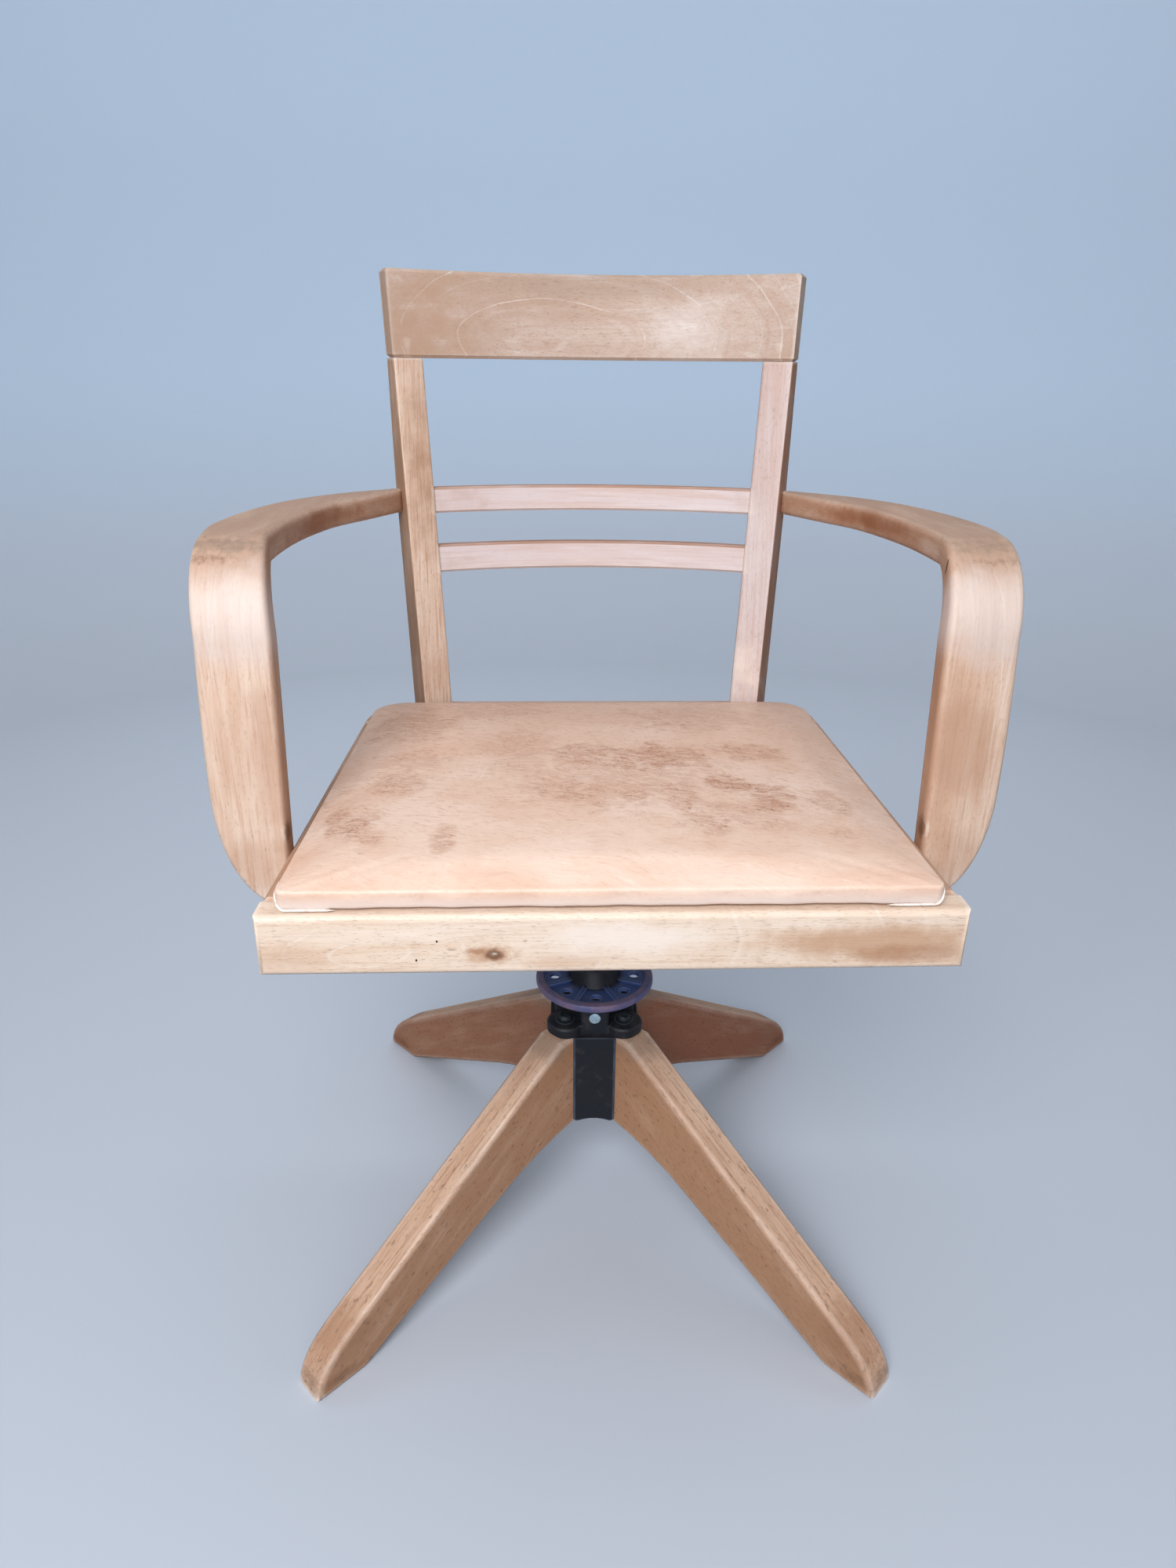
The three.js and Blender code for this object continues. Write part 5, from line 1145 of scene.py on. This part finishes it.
pad = pad_rings(PAD_CROWN)
print("pad grid", pad.shape)

# %% [markdown]
# A cover has small accidents: the wall is pulled in a little at each tack, the underside hangs lower at the
# front corners than in the middle, and near the left corner a fold of the lining was drawn down by a tack.

# %% Accidents of the cover
FOLD_AT = -0.181


def settle(rings):
    """Adds slow waves to the front wall, lowers the front corners, and draws one fold down. Each move is a way in
    metres times shares from 0 to 1, which say how much a point belongs to the front, the wall or the underside."""
    x, y, z = rings[..., 0], rings[..., 1], rings[..., 2]
    front = np.clip((PAD_FRONT + 0.02 - y) / 0.02, 0, 1)
    outer = np.clip(1 - (y - PAD_FRONT) / 0.010, 0, 1)
    under = np.clip((0.470 - z) / 0.005, 0, 1) * np.clip((z - 0.4625) / 0.001, 0, 1)
    wall = front * np.clip((0.4752 - z) / 0.004, 0, 1)
    waves = 0.0004 * np.sin(x * 95 + 1.1) + 0.0003 * np.sin(x * 210 + 0.4)
    corner = np.clip((np.abs(x) - 0.150) / 0.045, 0, 1) ** 2
    fold = np.exp(-((x - FOLD_AT) / 0.0045) ** 2)
    moved = rings.copy()
    moved[..., 1] += waves * wall - 0.0012 * fold * under * outer
    moved[..., 2] += under * front * (0.0005 - 0.0013 * corner) - 0.0011 * fold * under * outer
    return moved


flat_pad, pad = pad, settle(pad)
print("the cover strays by up to", round(float(np.abs(pad - flat_pad).max()) * 1000, 2), "mm")

# %% [markdown]
# ## Leather
#
# The cover is pale pinkish tan, brushed with short wisps that run a little askew, some paler and some browner
# than the ground. In large worn patches the brown wisps crowd together and the skin has cracked into a fine
# net. The patches are listed one by one; each is a spot with a ragged border.

# %% Leather skin
def make_leather_skin():
    tree, bench, given, end = new_group("leather_skin", [("Place", "Vector", None)],
                                        ["Pebble", "Wisp", "Stroke", "Net", "Cloud", "Smear"])
    place = given["Place"]
    bench.feed(end["Pebble"], bench.noise(place, 900.0, 3.0, 0.6))
    askew = bench.node("ShaderNodeMapping", {"Vector": place, "Rotation": (0.0, 0.0, math.radians(16))}).outputs[0]
    slow = bench.noise(place, 26.0, 1.0, 0.5, output=1)
    sway = bench.stretched(bench.arrow("SUBTRACT", slow, GREY_MIDDLE), 0.022)
    bent = bench.arrow("ADD", askew, sway)
    bench.feed(end["Wisp"], bench.noise(bent, (95.0, 420.0, 420.0), 6.0, 0.72))
    bench.feed(end["Stroke"], bench.noise(bent, (230.0, 1000.0, 1000.0), 3.0, 0.6))
    bench.feed(end["Smear"], bench.noise(bent, (48.0, 170.0, 170.0), 6.0, 0.66))
    cells = bench.node("ShaderNodeTexVoronoi", {"Vector": bench.stretched(bent, (700.0, 1050.0, 800.0)), "Scale": 1.0,
                                                "Randomness": 1.0}, feature="DISTANCE_TO_EDGE")
    bench.feed(end["Net"], bench.rise(cells.outputs[0], 0.02, 0.16, 1.0, 0.0))
    bench.feed(end["Cloud"], bench.noise(place, (9.0, 14.0, 12.0), 4.0, 0.6))
    return told(tree)


leather_skin = make_leather_skin()

# %% [markdown]
# The colour goes on as with the wood: ground, wisps, then the browned patches with their cracks, a greyer low wall
# at the front and painted shade, dark brown, on the low walls by the rails, and last the pale ridge, worn and with a
# painted highlight.

# %% Leather
PATCHES = [  # centre x and y, reach x and y, how brown
    (-0.174, -0.171, 0.026, 0.024, 0.75), (-0.190, -0.148, 0.011, 0.024, 0.60), (-0.159, -0.193, 0.012, 0.018, 0.55),
    (-0.150, -0.101, 0.026, 0.032, 0.55), (-0.111, -0.197, 0.011, 0.026, 0.55), (-0.145, -0.055, 0.034, 0.028, 0.35),
    (-0.015, -0.053, 0.034, 0.030, 0.75), (-0.020, -0.128, 0.036, 0.030, 0.55), (-0.065, -0.038, 0.036, 0.070, 0.35),
    (0.042, -0.059, 0.050, 0.036, 0.90), (0.090, -0.113, 0.025, 0.025, 1.00), (0.118, -0.137, 0.023, 0.040, 0.85),
    (0.116, -0.044, 0.036, 0.026, 0.60), (0.067, -0.178, 0.028, 0.020, 0.60), (0.064, 0.025, 0.026, 0.018, 0.55),
    (0.161, -0.137, 0.018, 0.026, 0.45), (0.158, -0.189, 0.012, 0.014, 0.35), (0.020, -0.135, 0.016, 0.018, 0.70),
    (0.054, -0.131, 0.014, 0.036, 0.65), (-0.084, 0.070, 0.065, 0.045, 0.35), (0.080, 0.040, 0.080, 0.050, 0.30),
    (-0.155, 0.030, 0.050, 0.060, 0.50), (0.011, -0.102, 0.090, 0.065, 0.38), (0.092, -0.165, 0.045, 0.030, 0.38),
]
# The palest tone is for the ridge, rubbed and with a painted highlight, and for pale wisps; the dark brown of the low
# walls behind the front is painted shade by the rails.
PAD_TONE = tones(
    pale=(0.780, 0.590, 0.490), warm=(0.690, 0.460, 0.350), brown=(0.400, 0.165, 0.082),
    dark=(0.210, 0.085, 0.050), worn=(0.890, 0.790, 0.710), front=(0.72, 0.63, 0.60), beside=(0.40, 0.22, 0.14))
PATCH_HEIGHT = 0.487


def make_leather():
    material, bench, surface = plain_surface("worn_tan_leather")
    place = place_of(bench)
    _, back, up = bench.split(place)
    pebble, wisp, stroke, net, cloud, smear = bench.fill(leather_skin, {"Place": place})[:6]
    tint = bench.mix(bench.rise(cloud, 0.35, 0.7), PAD_TONE["pale"], PAD_TONE["warm"])
    tint = bench.mix(bench.rise(back, -0.16, 0.12, 0.0, 0.7), tint, PAD_TONE["warm"])
    brushed = bench.rise(back, -0.24, -0.12, 0.5, 1.25)
    tint = bench.coat(tint, bench.rise(wisp, 0.50, 0.70, 0.0, 0.42), brushed, PAD_TONE["brown"])
    tint = bench.coat(tint, bench.rise(stroke, 0.54, 0.72, 0.0, 0.28), brushed, PAD_TONE["brown"])
    tint = bench.mix(bench.rise(wisp, 0.28, 0.42, 0.5, 0.0), tint, PAD_TONE["worn"])
    brown = 0.0
    for x, y, wide, deep, share in PATCHES:
        values = {"Place": place, "Centre": (x, y, PATCH_HEIGHT), "Reach": (wide, deep, 0.05), "Fray": 2.0,
                  "Fray size": 0.016, "Soft": 0.6}
        one = bench.sum("MULTIPLY", bench.fill(spot, values)[0], share)
        brown = bench.sum("MAXIMUM", brown, one)
    brown = bench.sum("MULTIPLY", brown, bench.rise(smear, 0.38, 0.55, 0.35, 1.0))
    crazed = bench.sum("MULTIPLY", brown, bench.rise(wisp, 0.40, 0.53, 0.5, 1.0))
    tint = bench.coat(tint, crazed, bench.rise(stroke, 0.38, 0.52, 0.6, 1.0), PAD_TONE["brown"])
    cracks = bench.sum("MULTIPLY", net, brown)
    tint = bench.coat(tint, cracks, 0.4, PAD_TONE["pale"])
    speck = bench.rise(bench.noise(place, (380.0, 520.0, 450.0), 1.0), 0.60, 0.68)
    tint = bench.coat(tint, bench.sum("MULTIPLY", speck, brown), 0.8, PAD_TONE["dark"])
    # the low wall: greyer at the front, and dark brown behind it on the sides and back, a painted shade by the rails
    side = bench.mix(bench.rise(back, -0.248, -0.242), PAD_TONE["front"], PAD_TONE["beside"])
    tint = bench.mix(bench.rise(up, 0.4645, 0.4750, 0.75, 0.0), tint, side)
    # pale ridge and corners: wear and a painted highlight
    tint = rub_and_highlight(bench, place, tint, 0.0035, 0.35, 0.8, PAD_TONE["worn"])
    height = bench.sum("MULTIPLY_ADD", wisp, 0.8, bench.sum("MULTIPLY", pebble, 0.35))
    height = bench.sum("MULTIPLY_ADD", cracks, -0.8, height)
    lay(bench, surface, tint, bench.sum("MULTIPLY_ADD", brown, 0.2, 0.45), height, 0.35, 0.0006)
    return material


leather = make_leather()
print("leather with", len(PATCHES), "patches and", len(leather.node_tree.nodes), "nodes")

# %% [markdown]
# The pad is made and then inflated a little by a cloth simulation, with everything below the edge held fast. The
# stuffing pushes the leather up, and the leather pulls back at the edge, which gives the soft, uneven crown
# that a formula does not. No point may move further than a few millimetres.

# %% Inflate the pad
pad += np.array([PAD_ASIDE, AXIS[1], 0.0])
seat_pad = skin("seat_pad", pad, leather, 75)
SWELL_FRAMES, SWELL_CAP = 14, 0.0035
HELD_BELOW = 0.4761


def inflate(piece):
    """Runs a cloth with pressure and without gravity, then keeps where the points went, up to the cap."""
    scene = bpy.context.scene
    start = np.empty(len(piece.data.vertices) * 3)
    piece.data.vertices.foreach_get("co", start)
    start = start.reshape(-1, 3)
    held = piece.vertex_groups.new(name="held")
    held.add(np.flatnonzero(start[:, 2] < HELD_BELOW).tolist(), 1.0, "REPLACE")
    cloth = piece.modifiers.new("swell", "CLOTH")
    cloth.settings.vertex_group_mass = "held"
    cloth.settings.use_pressure = True
    cloth.settings.uniform_pressure_force = 3.0
    cloth.settings.effector_weights.gravity = 0.0
    cloth.settings.quality = 5
    cloth.collision_settings.use_collision = False
    cloth.collision_settings.use_self_collision = False
    for number in range(1, SWELL_FRAMES + 1):
        scene.frame_set(number)
    moved = np.array([vertex.co for vertex in piece.evaluated_get(
        bpy.context.evaluated_depsgraph_get()).data.vertices])
    scene.frame_set(1)
    piece.modifiers.remove(cloth)
    piece.vertex_groups.clear()
    way = moved - start
    size = np.linalg.norm(way, axis=1)[:, None]
    way *= np.minimum(1.0, SWELL_CAP / np.maximum(size, 1e-9))
    piece.data.vertices.foreach_set("co", (start + way).ravel())
    piece.data.update()
    print(piece.name, "rose by up to", round(float(way[:, 2].max()) * 1000, 2), "mm")


inflate(seat_pad)
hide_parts("cushion")
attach(seat_pad, "seat")

# %% [markdown]
# The cut edge of the cover shows at both front corners as a thin white line: along the bottom, round the corner
# and up the wall. It is a fine welt, a thin tube carried along that path.

# %% White edge at the corners
WELT_RADIUS, WELT_STEPS = 0.00085, 70
WELT_LOW, WELT_HIGH = 0.4637, 0.4750
WELT_START = 0.170  # from the middle of the front


def welt_path(out):
    """Along the foot of the front wall, round the pad's corner and up to the ridge: the outline gives the plan,
    and the height stays low along the front and rises as a power of the share of the way round the corner."""
    plan = pad_plan(-0.0002)
    corner, side = plan[:8], plan[8:11]
    front = np.column_stack([np.linspace(WELT_START, corner[0, 0], 30)[:-1], np.full(29, corner[0, 1])])
    level = np.vstack([front, corner, side])
    climb = np.clip((np.arange(len(level)) - len(front)) / (len(level) - len(front) - 1), 0, 1)
    height = WELT_LOW + (WELT_HIGH - WELT_LOW) * climb**1.6
    return curve(np.column_stack([level[:, 0] * out + PAD_ASIDE, level[:, 1] + AXIS[1], height]), WELT_STEPS)[::out]


def make_lining():
    material, bench, surface = plain_surface("white_lining")
    place = place_of(bench)
    dirt = bench.noise(place, 160.0, 4.0, 0.6)
    thread = bench.noise(place, 1500.0, 1.0)
    tint = bench.mix(bench.rise(dirt, 0.4, 0.7), colour(0.84, 0.80, 0.77), colour(0.60, 0.50, 0.43))
    lay(bench, surface, tint, 0.75, thread, 0.5, 0.0003)
    return material


lining = make_lining()
step = np.arange(WELT_STEPS)
welt_radii = WELT_RADIUS * np.clip(np.minimum(step, step[::-1]) / 6.0, 0.15, 1.0)  # thin at both ends
for side, out in SIDES:
    welt = skin("pad_welt_" + side, tube(welt_path(out), welt_radii, 8), lining, 60)
    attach(welt, "seat")

# %% [markdown]
# ## The room
#
# A plain pale floor that curves up all round into a plain wall, as in a photographer's studio, so that no
# horizon shows from any side. It is one profile turned about the vertical axis. To the camera it is pale, a
# little bluer on the wall. To the light that bounces it is darker, so that the shadows under the seat stay deep.

# %% Room
def cove_rings(radius=3.4, wall=3.2, bend=1.4, steps=64):
    """A profile of floor, quarter circle and wall, turned round the axis."""
    turn = np.linspace(0, np.pi / 2, 14)
    reach = np.concatenate([np.linspace(0.05, radius - bend, 12), radius - bend + bend * np.sin(turn), [radius]])
    rise = np.concatenate([np.zeros(12), bend - bend * np.cos(turn), [wall]])
    angle = np.linspace(0, 2 * np.pi, steps, endpoint=False)
    level = np.repeat(rise[:, None], steps, 1)
    return np.stack([reach[:, None] * np.cos(angle), reach[:, None] * np.sin(angle), level], -1)


def make_room():
    rings = cove_rings()
    count, points = rings.shape[:2]
    material, bench, surface = plain_surface("pale_room")
    seen = bench.node("ShaderNodeLightPath").outputs["Is Camera Ray"]
    climb = bench.rise(bench.split(place_of(bench))[2], 0.0, 0.8)
    pale = bench.mix(climb, colour(0.53, 0.58, 0.67), colour(0.56, 0.68, 0.84))
    bench.feed(surface.inputs["Base Color"], bench.mix(seen, colour(0.30, 0.32, 0.35), pale))
    surface.inputs["Roughness"].default_value = 0.9
    surface.inputs["Specular IOR Level"].default_value = 0.2
    quads = ring_quads(count, points)[:, ::-1]  # seen from inside
    return build("room", rings.reshape(-1, 3), quads.tolist() + [list(range(points))], material)


room = make_room()
print("room with", len(room.data.polygons), "faces")

# %% [markdown]
# A near lamp in front and above gives the light its fall-off towards the back, a wide window behind the camera
# fills the front, a lamp over the chair's back lights the wall, and weak lamps above and beside keep the rest
# open. A faint pale sky fills what they leave.

# %% Lamps
COOL = (0.93, 0.97, 1.0)


def lamp(name, place, target, size, power, tint=COOL):
    """A soft rectangular lamp at a place, turned to face the target."""
    light = bpy.data.lights.new(name, "AREA")
    light.shape = "RECTANGLE"
    light.size, light.size_y = size
    light.energy = power
    light.color = tint
    made = placed(name, light)
    made.location = place
    made.rotation_mode = "QUATERNION"
    made.rotation_quaternion = Vector(np.subtract(target, place)).to_track_quat("-Z", "Y")


lamp("near_lamp", (-0.35, -1.35, 1.45), (0, 0, 0.5), (0.9, 0.7), 27.0, (1.0, 0.985, 0.97))
lamp("window", (-0.30, -2.80, 1.30), (0, 0, 0.5), (2.4, 1.4), 21.0, (0.98, 0.99, 1.0))
lamp("top_lamp", (0.0, 0.3, 2.6), (0, 0, 0.3), (2.0, 2.0), 8.0)
lamp("wall_lamp", (0.0, 0.9, 2.4), (0, 3.2, 0.8), (3.0, 0.8), 36.0)
lamp("left_lamp", (-2.0, 0.2, 1.4), (0, 0, 0.4), (1.4, 1.4), 2.0)
lamp("right_lamp", (2.0, -0.4, 1.3), (0, 0, 0.4), (1.4, 1.4), 3.0)
world = bpy.data.worlds.new("pale_sky")
world.use_nodes = True
world.node_tree.nodes["Background"].inputs["Color"].default_value = colour(0.78, 0.84, 0.92)
world.node_tree.nodes["Background"].inputs["Strength"].default_value = 0.35
bpy.context.scene.world = world
bpy.context.scene.view_settings.view_transform = "Standard"
print("lamps:", len(bpy.data.lights))

# %% [markdown] ## The end
